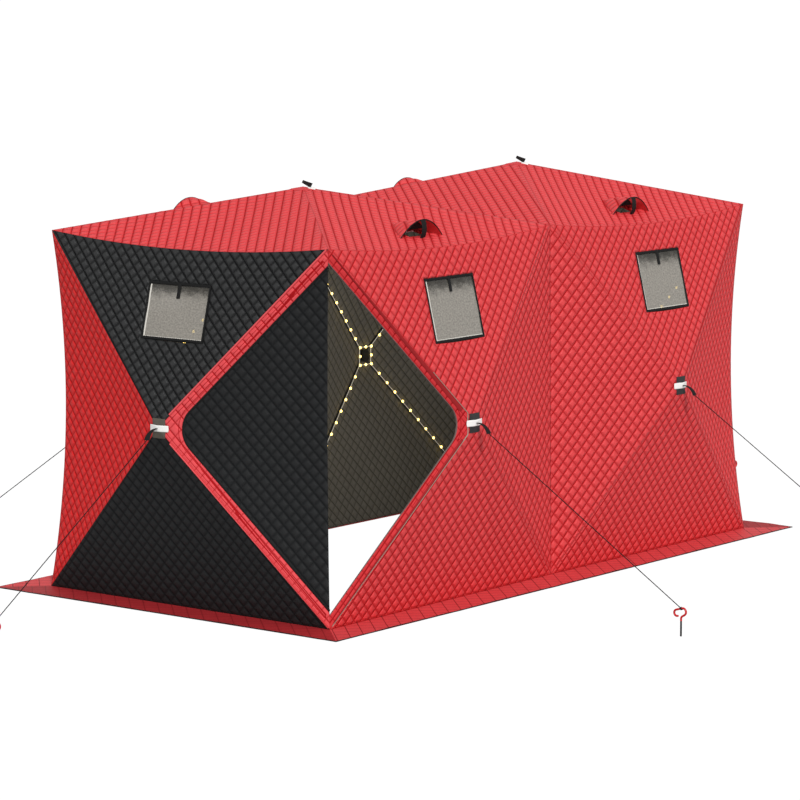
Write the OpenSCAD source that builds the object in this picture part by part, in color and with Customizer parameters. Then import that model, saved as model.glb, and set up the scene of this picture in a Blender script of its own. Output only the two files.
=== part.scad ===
// Two-bay pop-up ice fishing shelter: quilted cloth on hubs and fibreglass poles.
// Millimetres. +Z is up, X runs along the bays, and the door stands at the corner of -X and -Y.
// The origin is on the ground in the middle of the shelter.

/* [Shelter] */
// Length of one bay along X
bay_l = 1800; // [1500:10:2400]
// Width of the shelter across Y at the ground
shelter_w = 1800; // [1500:10:2400]
// Height of the eave corners above the ground
eave_h = 1787; // [1600:1:2200]
// How far the eave corners lean in from the base corners
eave_lean = 19; // [0:1:60]
// How far the seam between the bays lies behind the long walls' base line
seam_in = 15; // [5:1:60]
// How far an end eave or a front eave sags halfway along
eave_sag = 50; // [20:1:90]
// How far a back eave sags halfway along
back_eave_sag = 4; // [2:1:90]
// How far a corner's upright edge is drawn in halfway up, along X and along Y
corner_draw = 50; // [20:1:90]
// Flat pieces that stand for one curved edge
edge_steps = 12; // [4:2:24]
// Thickness of the quilted cloth
cloth_t = 6; // [3:0.5:12]

/* [Hubs] */
// Height of the wall hubs
hub_h = 898; // [800:1:1000]
// How far an end wall's hub stands out
end_bulge = 192; // [120:1:260]
// How far a long wall's hub stands out
side_bulge = 177; // [120:1:260]
// How far the hub of bay 1's roof stands above the eave corners
roof_rise_1 = 202; // [140:1:240]
// How far the hub of bay 2's roof stands above the eave corners
roof_rise_2 = 238; // [140:1:240]
// Radius of the hub block inside the cloth
hub_r = 36; // [30:1:45]
// Thickness of the hub block at its rim
hub_t = 16; // [12:1:30]
// Diameter of the hole in the cloth at a hub
hub_hole_d = 44; // [30:1:54]
// How steeply the hub block's front slopes, rise over run
hub_slope = 0.34; // [0.34:0.01:0.45]

/* [Poles] */
// Diameter of a pole
pole_d = 11; // [8:0.5:14]
// Play between a pole and its socket or the cloth
pole_play = 1; // [0.5:0.1:2]
// Distance from the hub's centre to a pole's inner end
pole_start = 16; // [12:1:20]
// Distance from a corner to a pole's outer end
pole_stop = 60; // [40:1:100]

/* [Door] */
// Width of the door's band on the end wall
band_w = 54; // [40:1:110]
// Width of the door's band on the long wall
front_band_w = 46; // [40:1:110]
// Radius of the door's rounded point beside the end wall's hub
door_r = 130; // [60:1:180]
// Radius of the door's rounded point beside the long wall's hub
front_door_r = 125; // [60:1:180]

/* [Windows] */
// Width of a window over its border
window_w = 395; // [250:5:460]
// Upright height of a long wall's window over its border
window_h = 306; // [200:1:330]
// Upright height of an end wall's window over its border
end_window_h = 271; // [200:1:330]
// Distance from the eave corners down to a window's middle
window_drop = 342; // [300:1:380]
// Width of the black border
border_w = 11; // [6:1:25]
// Thickness of the clear pane
pane_t = 2; // [1:0.5:3]
// Width of the short strap that hangs on a pane
window_strap_w = 20; // [12:1:30]
// Length of the short strap that hangs on a pane
window_strap_l = 62; // [40:1:90]

/* [Vents] */
// Width of a vent's mouth
vent_w = 340; // [240:5:380]
// Height of a vent's mouth
vent_h = 88; // [50:1:120]
// How far a vent's mouth leans back from square to the roof, in degrees
vent_lean = 9; // [0:1:16]
// Length of a vent's hood up the roof
vent_l = 195; // [160:5:300]
// Distance from the line between the eave corners back to a vent's mouth
vent_setback = 139; // [120:1:230]
// Thickness of the hood
hood_t = 4; // [2:0.5:8]
// Width of the air hole under the hood
air_w = 120; // [80:5:140]
// Length of the air hole under the hood
air_l = 65; // [40:5:80]
// Distance from the mouth to the air hole
air_start = 25; // [15:1:40]
// How far the mouth's prop bows out
prop_bow = 16; // [5:1:30]

/* [Skirt] */
// Width of the skirt on the ground
skirt_w = 191; // [100:1:300]
// Thickness of the skirt
skirt_t = 4; // [2:0.5:8]

/* [Hub trim] */
// Width of a wall hub's patch
patch_w = 84; // [56:1:110]
// Height of a wall hub's patch
patch_h = 98; // [60:1:130]
// Side of a roof hub's patch
roof_patch = 100; // [70:1:140]
// Thickness of a patch
patch_t = 2.5; // [1:0.5:5]
// Width of a wall hub's plate
plate_w = 122; // [90:1:160]
// Height of a hub's plate
plate_h = 31; // [28:1:60]
// Width of a roof hub's plate
roof_plate = 38; // [34:1:66]
// Thickness of a plate
plate_t = 4; // [2:0.5:8]
// Width of the webbing straps
strap_w = 25; // [15:1:32]
// Thickness of the webbing straps
strap_t = 3; // [2:0.5:5]
// Length of a wall hub's pull strap
strap_l = 85; // [50:1:140]
// How far a wall hub's pull strap bows up
strap_bow = 14; // [5:1:25]
// Length of a roof hub's tab
tab_l = 50; // [40:1:80]
// How far a roof hub's tab stands up from level, in degrees
tab_tilt = 25; // [10:1:60]
// How far a roof hub's tab is turned from -X towards +Y, in degrees
tab_turn = 52; // [0:1:90]
// Distance from a roof hub to its plate and the foot of its tab
tab_out = 42; // [30:1:50]

/* [Guys] */
// Distance from a long wall's hub to its stake
guy_reach = 1190; // [900:10:1600]
// Distance from an end wall's hub to its stake
end_guy_reach = 1115; // [900:5:1600]
// Diameter of a guy rope
rope_d = 5; // [3:0.5:8]
// Height of a stake's shaft above the ground
shaft_h = 72; // [40:1:120]
// Diameter of a stake's shaft
shaft_d = 9; // [6:0.5:14]
// Diameter of the hook's rod
hook_d = 10; // [6:0.5:12]
// Height of the hook's straight foot on the shaft
hook_foot = 11; // [5:1:20]
// Radius of the bend that leads away from the foot
hook_neck_r = 14; // [9:1:20]
// Angle of the bend that leads away from the foot, in degrees
hook_neck_turn = 60; // [40:1:70]
// Length of the straight after that bend
hook_neck = 13; // [8:1:20]
// Radius of the bend back over the shaft
hook_r = 17; // [12:1:24]
// Angle of the bend back over the shaft, in degrees
hook_turn = 167; // [150:1:175]
// Length of the straight that the rope lies on
hook_bar = 34; // [28:1:44]
// Radius of the curl at the hook's end
curl_r = 15; // [10:1:20]
// Angle of the curl at the hook's end, in degrees
curl_turn = 183; // [120:1:200]

/* [Lights] */
// Diameter of the light string's wire
wire_d = 3.5; // [2:0.5:5]
// Side of the square of wire round a hub
wire_square = 100; // [90:1:140]
// Distance from a corner to the end of a light string
wire_stop = 130; // [90:5:400]

/* [Hidden] */
$fn = 48;

red = "#c9333a";
black = "#2a2a2a";
dark = "#3b3833";
white = "#eceae6";
clear_grey = "#9a968c";

half_w = shelter_w / 2;
// A cut made longer than whatever it goes through
reach = 400;
// How far a hood's form goes below the roof before the roof's skin cuts it
hood_foot = 60;
// How far one form stands past another, so that a cut leaves no skin
past_cut = 1;

// A face is [kind, side along X, side along Y]. Bay 1 is on the -X side and bay 2 on the +X side.
near_end = ["end", -1, 0];
far_end = ["end", 1, 0];
front_1 = ["long", -1, -1];
front_2 = ["long", 1, -1];
back_1 = ["long", -1, 1];
back_2 = ["long", 1, 1];
roof_1 = ["roof", -1, 0];
roof_2 = ["roof", 1, 0];
walls = [near_end, far_end, front_1, front_2, back_1, back_2];
roofs = [roof_1, roof_2];
lit_walls = [far_end, back_1, back_2];

// Corners, hubs and seams
// A corner is [side along X, side along Y, 0 at the ground or 1 at the eave]. Side 0 along X is
// the seam between the bays. Inset moves a point into the cloth, so one set of rules gives the
// outer skin at 0, the inner skin at cloth_t and the poles' lines behind that.
function corner(c, inset) = [
    c.x * (bay_l - c.z * eave_lean - inset),
    c.y * (half_w - c.z * eave_lean - (c.x == 0 ? seam_in : 0) - inset),
    c.z == 0 ? skirt_t : eave_h - inset
];

function roof_rise(f) = f[1] < 0 ? roof_rise_1 : roof_rise_2;
function hub(f, inset) =
    f[0] == "end" ? [f[1] * (bay_l + end_bulge - inset), 0, hub_h] :
    f[0] == "long" ? [f[1] * bay_l / 2, f[2] * (half_w + side_bulge - inset), hub_h] :
    [f[1] * bay_l / 2, 0, eave_h + roof_rise(f) - inset];

// An eave sags and a corner's upright edge is drawn in. Base lines and the seams between the bays
// stay straight.
function is_straight(a, b) = a.z + b.z == 0 || (a.x == 0 && b.x == 0);
function sag(y) = y > 0 ? back_eave_sag : eave_sag;
function draw(a, b) =
    is_straight(a, b) ? [0, 0, 0] :
    a.z == b.z ? [0, 0, -sag(a.y + b.y)] :
    -corner_draw * [a.x, a.y, 0];
function seam(a, b, inset) =
    let (p = corner(a, inset), q = corner(b, inset), n = is_straight(a, b) ? 1 : edge_steps)
    [for (i = [0:n]) p + (q - p) * i / n + draw(a, b) * 4 * (i / n) * (1 - i / n)];

// The two seams of a face that hold its first pair of panels, and the two of its second pair
function cross_seams(f) =
    f[0] == "end" ? [for (z = [0, 1]) [[f[1], -1, z], [f[1], 1, z]]] :
    f[0] == "long" ? [for (z = [0, 1]) [[0, f[2], z], [f[1], f[2], z]]] :
    [for (y = [-1, 1]) [[0, y, 1], [f[1], y, 1]]];
function side_seams(f) =
    f[0] == "end" ? [for (y = [-1, 1]) [[f[1], y, 0], [f[1], y, 1]]] :
    f[0] == "long" ? [for (x = [0, f[1]]) [[x, f[2], 0], [x, f[2], 1]]] :
    [for (x = [0, f[1]]) [[x, -1, 1], [x, 1, 1]]];
function face_corners(f) = [for (s = cross_seams(f)) each s];
function face_out(f) = f[0] == "end" ? [f[1], 0, 0] : [0, f[2], 0];

// Turns a face's own frame, with x across, y up and z out of the cloth, onto the face's hub
function turn(f) =
    f[0] == "end" ? [90, 0, 90 * f[1]] : f[0] == "long" ? [90, 0, f[2] < 0 ? 0 : 180] : [0, 0, 0];
module on_face(f) {
    translate(hub(f, 0)) rotate(turn(f)) children();
}

// One cloth panel: a sheet from the hub to a seam, between two insets
module panel(f, s, from, to) {
    edge_out = seam(s[0], s[1], from);
    edge_in = seam(s[0], s[1], to);
    n = len(edge_out) - 1;
    first_out = 2;
    first_in = first_out + n + 1;
    tip_out = hub(f, from);
    tip_in = hub(f, to);
    skins = [for (i = [0:n - 1]) each [
        [0, first_out + i, first_out + i + 1],
        [1, first_in + i + 1, first_in + i],
        [first_out + i, first_in + i, first_in + i + 1],
        [first_out + i, first_in + i + 1, first_out + i + 1]
    ]];
    sides = [
        [0, first_in, first_out], [0, 1, first_in],
        [0, first_out + n, first_in + n], [0, first_in + n, 1]
    ];
    faces_out = cross(edge_out[0] - tip_out, edge_out[n] - tip_out) * (tip_out - tip_in) > 0;
    polyhedron(
        points = concat([tip_out, tip_in], edge_out, edge_in),
        faces = [for (t = concat(skins, sides)) faces_out ? [t[2], t[1], t[0]] : t]
    );
}

module sheet(f, from, to) {
    for (s = concat(cross_seams(f), side_seams(f))) panel(f, s, from, to);
}

module hub_hole(f) {
    on_face(f) cylinder(d = hub_hole_d, h = 2 * reach, center = true);
}

// A window's outline, less a margin, cut through the wall
window_rise = eave_h - window_drop - hub_h;
function window_height(f) = f[0] == "end" ? end_window_h : window_h;
module window_cut(f, margin) {
    on_face(f) translate([0, window_rise, -reach]) linear_extrude(1.5 * reach)
        offset(delta = -margin) square([window_w, window_height(f)], center = true);
}

module wall_cross_panels(f) {
    difference() {
        for (s = cross_seams(f)) panel(f, s, 0, cloth_t);
        window_cut(f, 0);
        hub_hole(f);
    }
}

module wall_side_panels(f, seams) {
    difference() {
        for (s = seams) panel(f, s, 0, cloth_t);
        hub_hole(f);
    }
}

// Roofs
vent_y = half_w - eave_lean - vent_setback;

module vent_place(f, y) {
    translate([f[1] * bay_l / 2, y * vent_y, 0]) rotate([0, 0, y < 0 ? 0 : 180]) children();
}

// Height and slope of the roof along the line from its hub to the middle of the eave
roof_run = half_w - eave_lean - seam_in / 2;
function roof_slope(f, y) = atan((roof_rise(f) + sag(y)) / roof_run);
function vent_z(f, y) = eave_h + roof_rise(f) - vent_y * tan(roof_slope(f, y));

module air_hole(f, y) {
    vent_place(f, y) translate([-air_w / 2, air_start, eave_h / 2]) cube([air_w, air_l, eave_h]);
}

module roof_cross_panels(f) {
    difference() {
        for (s = cross_seams(f)) panel(f, s, 0, cloth_t);
        hub_hole(f);
        for (y = [-1, 1]) air_hole(f, y);
    }
}

module roof_1_front_back_panels() { color(red) roof_cross_panels(roof_1); }
module roof_2_front_back_panels() { color(red) roof_cross_panels(roof_2); }
module roof_1_side_panels() { color(red) wall_side_panels(roof_1, side_seams(roof_1)); }
module roof_2_side_panels() { color(red) wall_side_panels(roof_2, side_seams(roof_2)); }

// A strap of webbing along z that bows out towards y
module bowed_strap(l, bow) {
    line = [for (i = [0:edge_steps]) let (s = i / edge_steps) [bow * 4 * s * (1 - s), l * s]];
    outline = concat([for (p = line) p + [strap_t, 0]], [for (i = [edge_steps:-1:0]) line[i]]);
    translate([-strap_w / 2, 0, 0]) rotate([90, 0, 90]) linear_extrude(strap_w) polygon(outline);
}

// A hood is a cone from a parabolic mouth to a point up the roof. Its foot is cut by the roof's skin.
module hood_form(w, h, l, foot) {
    back = tan(vent_lean);
    mouth = concat(
        [for (i = [0:edge_steps]) let (u = 1 - 2 * i / edge_steps, z = h * (1 - u * u)) [u * w / 2, back * z, z]],
        [[-w / 2, -back * foot, -foot], [w / 2, -back * foot, -foot]]
    );
    m = len(mouth);
    polyhedron(
        points = concat(mouth, [[0, l, 0]]),
        faces = concat([[for (i = [m - 1:-1:0]) i]], [for (i = [0:m - 1]) [i, (i + 1) % m, m]])
    );
}

module hood_shell() {
    inner_l = vent_l * (1 - hood_t / vent_h);
    difference() {
        hood_form(vent_w, vent_h, vent_l, hood_foot);
        translate([0, -past_cut, 0])
            hood_form(vent_w - 2 * hood_t, vent_h - hood_t, inner_l, hood_foot + past_cut);
    }
}

module on_vent(f, y) {
    vent_place(f, y) translate([0, 0, vent_z(f, y)]) rotate([roof_slope(f, y), 0, 0]) children();
}

module roof_body(f, y) {
    panel(f, cross_seams(f)[y < 0 ? 0 : 1], 0, eave_h / 10);
}

module vent_hoods() {
    color(red)
        for (f = roofs, y = [-1, 1])
            difference() {
                on_vent(f, y) hood_shell();
                roof_body(f, y);
            }
}

// The prop is a strip bowed out from the roof to the top of the mouth
module prop_strip() {
    foot = 12;
    rise = vent_h / cos(vent_lean) - hood_t / 2 + foot;
    rotate([-vent_lean, 0, 0]) translate([0, hood_t - strap_t, -foot])
        mirror([0, 1, 0]) bowed_strap(rise, prop_bow);
}

module vent_props() {
    color(black)
        for (f = roofs, y = [-1, 1])
            difference() {
                on_vent(f, y) prop_strip();
                on_vent(f, y) hood_shell();
                roof_body(f, y);
            }
}

// Walls
module near_end_upper_lower_panels() { color(black) wall_cross_panels(near_end); }
module near_end_side_panel() { color(red) wall_side_panels(near_end, [side_seams(near_end)[1]]); }
module far_end_upper_lower_panels() { color(black) wall_cross_panels(far_end); }
module far_end_side_panels() { color(red) wall_side_panels(far_end, side_seams(far_end)); }
module front_bay_1_upper_lower_panels() { color(red) wall_cross_panels(front_1); }
module front_bay_1_side_panel() { color(red) wall_side_panels(front_1, [side_seams(front_1)[0]]); }
module front_bay_2_upper_lower_panels() { color(red) wall_cross_panels(front_2); }
module front_bay_2_side_panels() { color(red) wall_side_panels(front_2, side_seams(front_2)); }
module back_bay_1_upper_lower_panels() { color(red) wall_cross_panels(back_1); }
module back_bay_1_side_panels() { color(red) wall_side_panels(back_1, side_seams(back_1)); }
module back_bay_2_upper_lower_panels() { color(red) wall_cross_panels(back_2); }
module back_bay_2_side_panels() { color(red) wall_side_panels(back_2, side_seams(back_2)); }

// The door is a diamond folded round the near corner: half on the end wall, half on front bay 1
end_door_seam = side_seams(near_end)[0];
front_door_seam = side_seams(front_1)[1];

// The doorway's outline on one wall, inside the band, run out past the corner
module doorway_cut(f, way, run, band, r) {
    past = 2;
    on_face(f) translate([0, 0, -reach]) linear_extrude(1.5 * reach)
        offset(r = r) offset(delta = -band - r)
            polygon(past * [[0, 0], [way * run, eave_h - hub_h], [way * run, skirt_t - hub_h]]);
}

module end_doorway_cut() { doorway_cut(near_end, 1, half_w, band_w, door_r); }
module front_doorway_cut() { doorway_cut(front_1, -1, bay_l / 2, front_band_w, front_door_r); }

module door_band_end() {
    color(red) difference() {
        panel(near_end, end_door_seam, 0, cloth_t);
        end_doorway_cut();
        hub_hole(near_end);
    }
}

module door_band_front() {
    color(red) difference() {
        panel(front_1, front_door_seam, 0, cloth_t);
        front_doorway_cut();
        hub_hole(front_1);
    }
}

module door_flap() {
    color(black) intersection() {
        panel(near_end, end_door_seam, 0, cloth_t);
        end_doorway_cut();
    }
}

// The open half lies flat behind the closed half, one cloth further in
module door_flap_folded() {
    color(dark) intersection() {
        panel(near_end, end_door_seam, cloth_t, 2 * cloth_t);
        end_doorway_cut();
    }
}

// Windows
module window_borders() {
    color(black)
        for (f = walls)
            difference() {
                intersection() {
                    panel(f, cross_seams(f)[1], 0, cloth_t);
                    window_cut(f, 0);
                }
                window_cut(f, border_w);
            }
}

pane_in = (cloth_t - pane_t) / 2;

module window_panes() {
    color(clear_grey)
        for (f = walls)
            intersection() {
                panel(f, cross_seams(f)[1], pane_in, pane_in + pane_t);
                window_cut(f, border_w);
            }
}

// The strap lies on the pane's outer side and hangs from the top of the border
module window_straps() {
    color(black)
        for (f = walls)
            intersection() {
                panel(f, cross_seams(f)[1], 0, pane_in);
                window_cut(f, border_w);
                on_face(f) translate([0, window_rise + window_height(f) / 2 - border_w, -reach])
                    linear_extrude(1.5 * reach)
                        square([window_strap_w, 2 * window_strap_l], center = true);
            }
}

// Skirt: mitred strips on the ground that reach in under the walls' hems
module skirt_strip(half_run, half_across) {
    under = seam_in + cloth_t;
    linear_extrude(skirt_t) polygon([
        [-half_run - skirt_w, -half_across - skirt_w], [half_run + skirt_w, -half_across - skirt_w],
        [half_run - under, -half_across + under], [-half_run + under, -half_across + under]
    ]);
}

module front_skirt() { color(red) skirt_strip(bay_l, half_w); }
module back_skirt() { color(red) rotate([0, 0, 180]) skirt_strip(bay_l, half_w); }
module near_end_skirt() { color(red) rotate([0, 0, -90]) skirt_strip(half_w, bay_l); }
module far_end_skirt() { color(red) rotate([0, 0, 90]) skirt_strip(half_w, bay_l); }

// Frame: four poles in each face, pushed into a hub block
pole_in = cloth_t + pole_play + pole_d / 2;

module rod(p, q, d) {
    v = q - p;
    translate(p) rotate([0, acos(v.z / norm(v)), atan2(v.y, v.x)]) cylinder(d = d, h = norm(v));
}

// A straight rod on a face from its hub towards one corner
module spoke(f, c, inset, start, stop, d) {
    p = hub(f, inset);
    q = corner(c, inset);
    along = (q - p) / norm(q - p);
    rod(p + along * start, q - along * stop, d);
}

module poles(f) {
    color(dark) for (c = face_corners(f)) spoke(f, c, pole_in, pole_start, pole_stop, pole_d);
}

module near_end_poles() { poles(near_end); }
module far_end_poles() { poles(far_end); }
module front_bay_1_poles() { poles(front_1); }
module front_bay_2_poles() { poles(front_2); }
module back_bay_1_poles() { poles(back_1); }
module back_bay_2_poles() { poles(back_2); }
module roof_1_poles() { poles(roof_1); }
module roof_2_poles() { poles(roof_2); }

module hub_blocks() {
    nose_r = 8;
    nose_in = cloth_t + nose_r * hub_slope + pole_play / 2;
    rim_in = cloth_t + hub_r * hub_slope + pole_play / 2;
    socket_play = 0.4;
    color(black)
        for (f = concat(walls, roofs))
            difference() {
                on_face(f) rotate_extrude() polygon([
                    [0, -nose_in], [nose_r, -nose_in], [hub_r, -rim_in], [hub_r, -rim_in - hub_t],
                    [0, -rim_in - hub_t]
                ]);
                for (c = face_corners(f))
                    spoke(f, c, pole_in, pole_start - socket_play, pole_stop, pole_d + socket_play);
            }
}

// Hub trim: patch, plate and strap follow the cloth over each hub
module over_hub(f, from, to, w, h) {
    intersection() {
        sheet(f, from, to);
        on_face(f) linear_extrude(reach, center = true) square([w, h], center = true);
    }
}

module hub_patches() {
    color(dark) {
        for (f = walls) over_hub(f, -patch_t, 0, patch_w, patch_h);
        for (f = roofs) over_hub(f, -patch_t, 0, roof_patch, roof_patch);
    }
}

plate_out = patch_t + plate_t;

// A roof's plate and tab sit beside its hub, where the roof has begun to fall
tab_fall = tab_out * sin(tab_turn);

module beside_hub(f) {
    on_face(f) rotate([0, 0, -tab_turn]) translate([tab_out, 0, -tab_fall * tan(roof_slope(f, -1))]) children();
}

module hub_plates() {
    color(white) {
        for (f = walls) over_hub(f, -plate_out, -patch_t, plate_w, plate_h);
        for (f = roofs)
            intersection() {
                sheet(f, -plate_out, -patch_t);
                beside_hub(f) linear_extrude(reach, center = true) square([roof_plate, plate_h], center = true);
            }
    }
}

// The hook's rod in its own plane, x away from the shelter and y up: the end of its first straight, the
// end of the bend back over the shaft, and how high its bar crosses above the shaft
neck_end = [
    hook_neck_r * (1 - cos(hook_neck_turn)) + hook_neck * sin(hook_neck_turn),
    hook_foot + hook_neck_r * sin(hook_neck_turn) + hook_neck * cos(hook_neck_turn)
];
bar_angle = hook_turn - hook_neck_turn;
bar_start = neck_end + hook_r * [cos(bar_angle) - cos(hook_neck_turn), sin(bar_angle) + sin(hook_neck_turn)];
hook_z = shaft_h + bar_start.y - bar_start.x * tan(bar_angle - 90);
// A guy's line in the face's own frame runs from the hub's plate to the middle of the hook's bar
guy_from = [0, 0, plate_out];
function stake_reach(f) = f[0] == "end" ? end_guy_reach : guy_reach;
function guy_to(f) = [0, hook_z - hub_h, stake_reach(f)];
function guy_along(f) = (guy_to(f) - guy_from) / norm(guy_to(f) - guy_from);

module pull_straps() {
    color(black) {
        for (f = walls)
            difference() {
                on_face(f) translate(guy_from) rotate([acos(guy_along(f).z), 0, 0])
                    translate([0, -strap_t / 2, 0]) bowed_strap(strap_l, strap_bow);
                sheet(f, -plate_out, 2 * plate_out);
            }
        for (f = roofs)
            difference() {
                beside_hub(f) translate([0, 0, plate_out + strap_w / 3]) rotate([0, tab_tilt - 90, 0])
                    translate([0, 0, tab_l / 2]) cube([strap_w, strap_t, tab_l], center = true);
                sheet(f, -plate_out, 2 * plate_out);
            }
    }
}

// The rope stops where its end meets the side of the hook's bar
module guy_ropes() {
    color(black)
        for (f = walls) {
            between = acos(guy_along(f).z) + bar_angle - 90;
            short = (hook_d + rope_d * cos(between)) / 2 / sin(between);
            on_face(f) rod(guy_from + guy_along(f) * strap_l, guy_to(f) - guy_along(f) * short, rope_d);
        }
}

// Stakes stand in their own frame, z up, with the shelter on the +y side
module at_stake(f) {
    on_face(f) translate([0, -hub_h, stake_reach(f)]) rotate([-90, 0, 0]) children();
}

module stake_shafts() {
    color(dark) for (f = walls) at_stake(f) cylinder(d = shaft_d, h = shaft_h);
}

// A run of rod that starts along z. What follows it stands at its end, along the rod. It is a hair
// thinner than the bends and runs a little into them, so that they join cleanly.
rod_step = 0.2;
rod_join = 1.5;
module straight_rod(l, before = rod_join) {
    translate([0, 0, -before]) cylinder(d = hook_d - 2 * rod_step, h = l + before + rod_join);
    translate([0, 0, l]) children();
}

// A bend of rod that starts along z and turns towards x, or away from x
module bend_right(r, angle) {
    translate([r, 0, 0]) {
        rotate([90, 0, 180]) rotate_extrude(angle = angle) translate([r, 0]) circle(d = hook_d);
        rotate([0, angle, 0]) translate([-r, 0, 0]) children();
    }
}
module bend_left(r, angle) {
    rotate([0, 0, 180]) bend_right(r, angle) rotate([0, 0, 180]) children();
}

module stake_hooks() {
    color(red)
        for (f = walls)
            at_stake(f) translate([0, 0, shaft_h]) rotate([0, 0, -90])
                straight_rod(hook_foot, 0) bend_right(hook_neck_r, hook_neck_turn)
                    straight_rod(hook_neck) bend_left(hook_r, hook_turn)
                        straight_rod(hook_bar) bend_left(curl_r, curl_turn);
}

// Light strings lie on the inner side of the poles, with a square of wire round the hub
wire_in = pole_in + pole_d / 2 + wire_d / 2 + pole_play / 4;

module light_strings() {
    color(dark)
        for (f = lit_walls) {
            first = hub(f, wire_in);
            last = corner(face_corners(f)[0], wire_in);
            square_at = wire_square / sqrt(2);
            depth = wire_in + square_at * abs((last - first) * face_out(f)) / norm(last - first);
            on_face(f) translate([0, 0, -depth]) linear_extrude(wire_d, center = true)
                difference() {
                    square(wire_square + wire_d, center = true);
                    square(wire_square - wire_d, center = true);
                }
            for (c = face_corners(f)) spoke(f, c, wire_in, square_at, wire_stop, wire_d);
        }
}

near_end_upper_lower_panels();
near_end_side_panel();
far_end_upper_lower_panels();
far_end_side_panels();
front_bay_1_upper_lower_panels();
front_bay_1_side_panel();
front_bay_2_upper_lower_panels();
front_bay_2_side_panels();
back_bay_1_upper_lower_panels();
back_bay_1_side_panels();
back_bay_2_upper_lower_panels();
back_bay_2_side_panels();
roof_1_front_back_panels();
roof_1_side_panels();
roof_2_front_back_panels();
roof_2_side_panels();
door_band_end();
door_band_front();
door_flap();
door_flap_folded();
front_skirt();
back_skirt();
near_end_skirt();
far_end_skirt();
window_panes();
window_borders();
window_straps();
vent_hoods();
vent_props();
near_end_poles();
far_end_poles();
front_bay_1_poles();
front_bay_2_poles();
back_bay_1_poles();
back_bay_2_poles();
roof_1_poles();
roof_2_poles();
hub_blocks();
hub_patches();
hub_plates();
pull_straps();
guy_ropes();
stake_shafts();
stake_hooks();
light_strings();
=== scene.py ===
# %% [markdown]
# # A two-bay pop-up ice fishing shelter
#
# The real shelter is a tent of quilted cloth. Each wall and each roof is pushed out by a hub with
# four poles, so every face is a shallow pyramid of four triangular panels.
# The construction comes ready-made as a frame of solids. This lesson dresses it: quilted cloth,
# door, windows, vents, webbing, ropes, skirt and lights, all in metres and in the frame's place.

# %% Load the frame
import math

import bmesh
import bpy
import numpy as np
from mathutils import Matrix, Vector


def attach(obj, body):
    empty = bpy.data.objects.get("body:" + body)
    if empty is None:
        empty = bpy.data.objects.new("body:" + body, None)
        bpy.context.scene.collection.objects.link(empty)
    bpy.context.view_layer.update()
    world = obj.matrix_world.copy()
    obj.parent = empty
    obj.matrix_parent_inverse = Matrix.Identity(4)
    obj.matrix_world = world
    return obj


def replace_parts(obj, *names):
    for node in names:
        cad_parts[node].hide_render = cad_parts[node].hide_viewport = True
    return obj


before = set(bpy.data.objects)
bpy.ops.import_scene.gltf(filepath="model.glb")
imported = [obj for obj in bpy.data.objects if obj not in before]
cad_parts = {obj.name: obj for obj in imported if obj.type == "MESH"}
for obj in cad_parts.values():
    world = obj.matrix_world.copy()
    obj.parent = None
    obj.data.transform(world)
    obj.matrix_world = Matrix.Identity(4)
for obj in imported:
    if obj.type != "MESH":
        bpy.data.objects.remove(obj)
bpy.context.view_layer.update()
print("nodes in the frame:", len(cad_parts))

# %% [markdown]
# ## Sizes
#
# The cloth pieces need the rules that shape the solids: where the corners and hubs are, how far the
# eaves sag and how far the corner edges are drawn in. They are written once here, in metres.

# %% Driving sizes in metres
MM = 0.001
BAY = 1.800
HALF_WIDTH = 0.900
EAVE = 1.787
EAVE_LEAN = 0.019
SEAM_IN = 0.015
EAVE_SAG = 0.050
BACK_SAG = 0.004
CORNER_DRAW = 0.050
CLOTH = 0.006
HUB_HEIGHT = 0.898
END_BULGE = 0.192
SIDE_BULGE = 0.177
ROOF_RISES = {-1: 0.202, 1: 0.238}
SKIRT_THICK = 0.004

# %% [markdown]
# ## Camera
#
# The camera was fitted to the photograph, with a floor of the shelter's usual size. Base and eave
# corners, wall hubs and skirt corners fall within about two pixels of their places, the roof hubs
# within about four. The picture is square, so one focal length in pixels gives the lens. A long lens
# from far away keeps the two bays almost alike in size.

# %% Camera at the photograph's view
CAMERA_YAW = math.radians(51.94)
CAMERA_PITCH = math.radians(7.56)
CAMERA_DISTANCE = 17.79
CAMERA_TARGET = Vector((-0.119, 0.0, 0.839))
FOCAL_PIXELS = 3427.6
PICTURE_PIXELS = 800

look = Vector((
    math.sin(CAMERA_YAW) * math.cos(CAMERA_PITCH),
    math.cos(CAMERA_YAW) * math.cos(CAMERA_PITCH),
    -math.sin(CAMERA_PITCH),
))
camera_data = bpy.data.cameras.new("photo_camera")
camera_data.sensor_width = 36.0
camera_data.lens = FOCAL_PIXELS * camera_data.sensor_width / PICTURE_PIXELS
camera = bpy.data.objects.new("photo_camera", camera_data)
camera.location = CAMERA_TARGET - look * CAMERA_DISTANCE
camera.rotation_euler = look.to_track_quat("-Z", "Y").to_euler()
bpy.context.scene.collection.objects.link(camera)
bpy.context.scene.camera = camera
print("lens in mm:", round(camera_data.lens, 1))

# %% [markdown]
# ## Colour and nodes
#
# Colours are written as sRGB hex values, the way a paint chart gives them, and one function turns
# them to the linear values that the renderer works with. One more function adds a shader node, and
# feeds it values and links, so that each material below reads as a list of its layers.

# %% Helpers for colour and nodes
def srgb(hex_value):
    channels = [int(hex_value[i:i + 2], 16) / 255 for i in (1, 3, 5)]
    linear = [c / 12.92 if c <= 0.04045 else ((c + 0.055) / 1.055) ** 2.4 for c in channels]
    return (*linear, 1.0)


def feed(tree, node, inputs):
    """Sets or links a node's inputs. A node given as a value stands for its first output."""
    for name, value in inputs.items():
        if isinstance(value, bpy.types.Node):
            value = value.outputs[0]
        if isinstance(value, bpy.types.NodeSocket):
            tree.links.new(value, node.inputs[name])
        else:
            node.inputs[name].default_value = value


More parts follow.
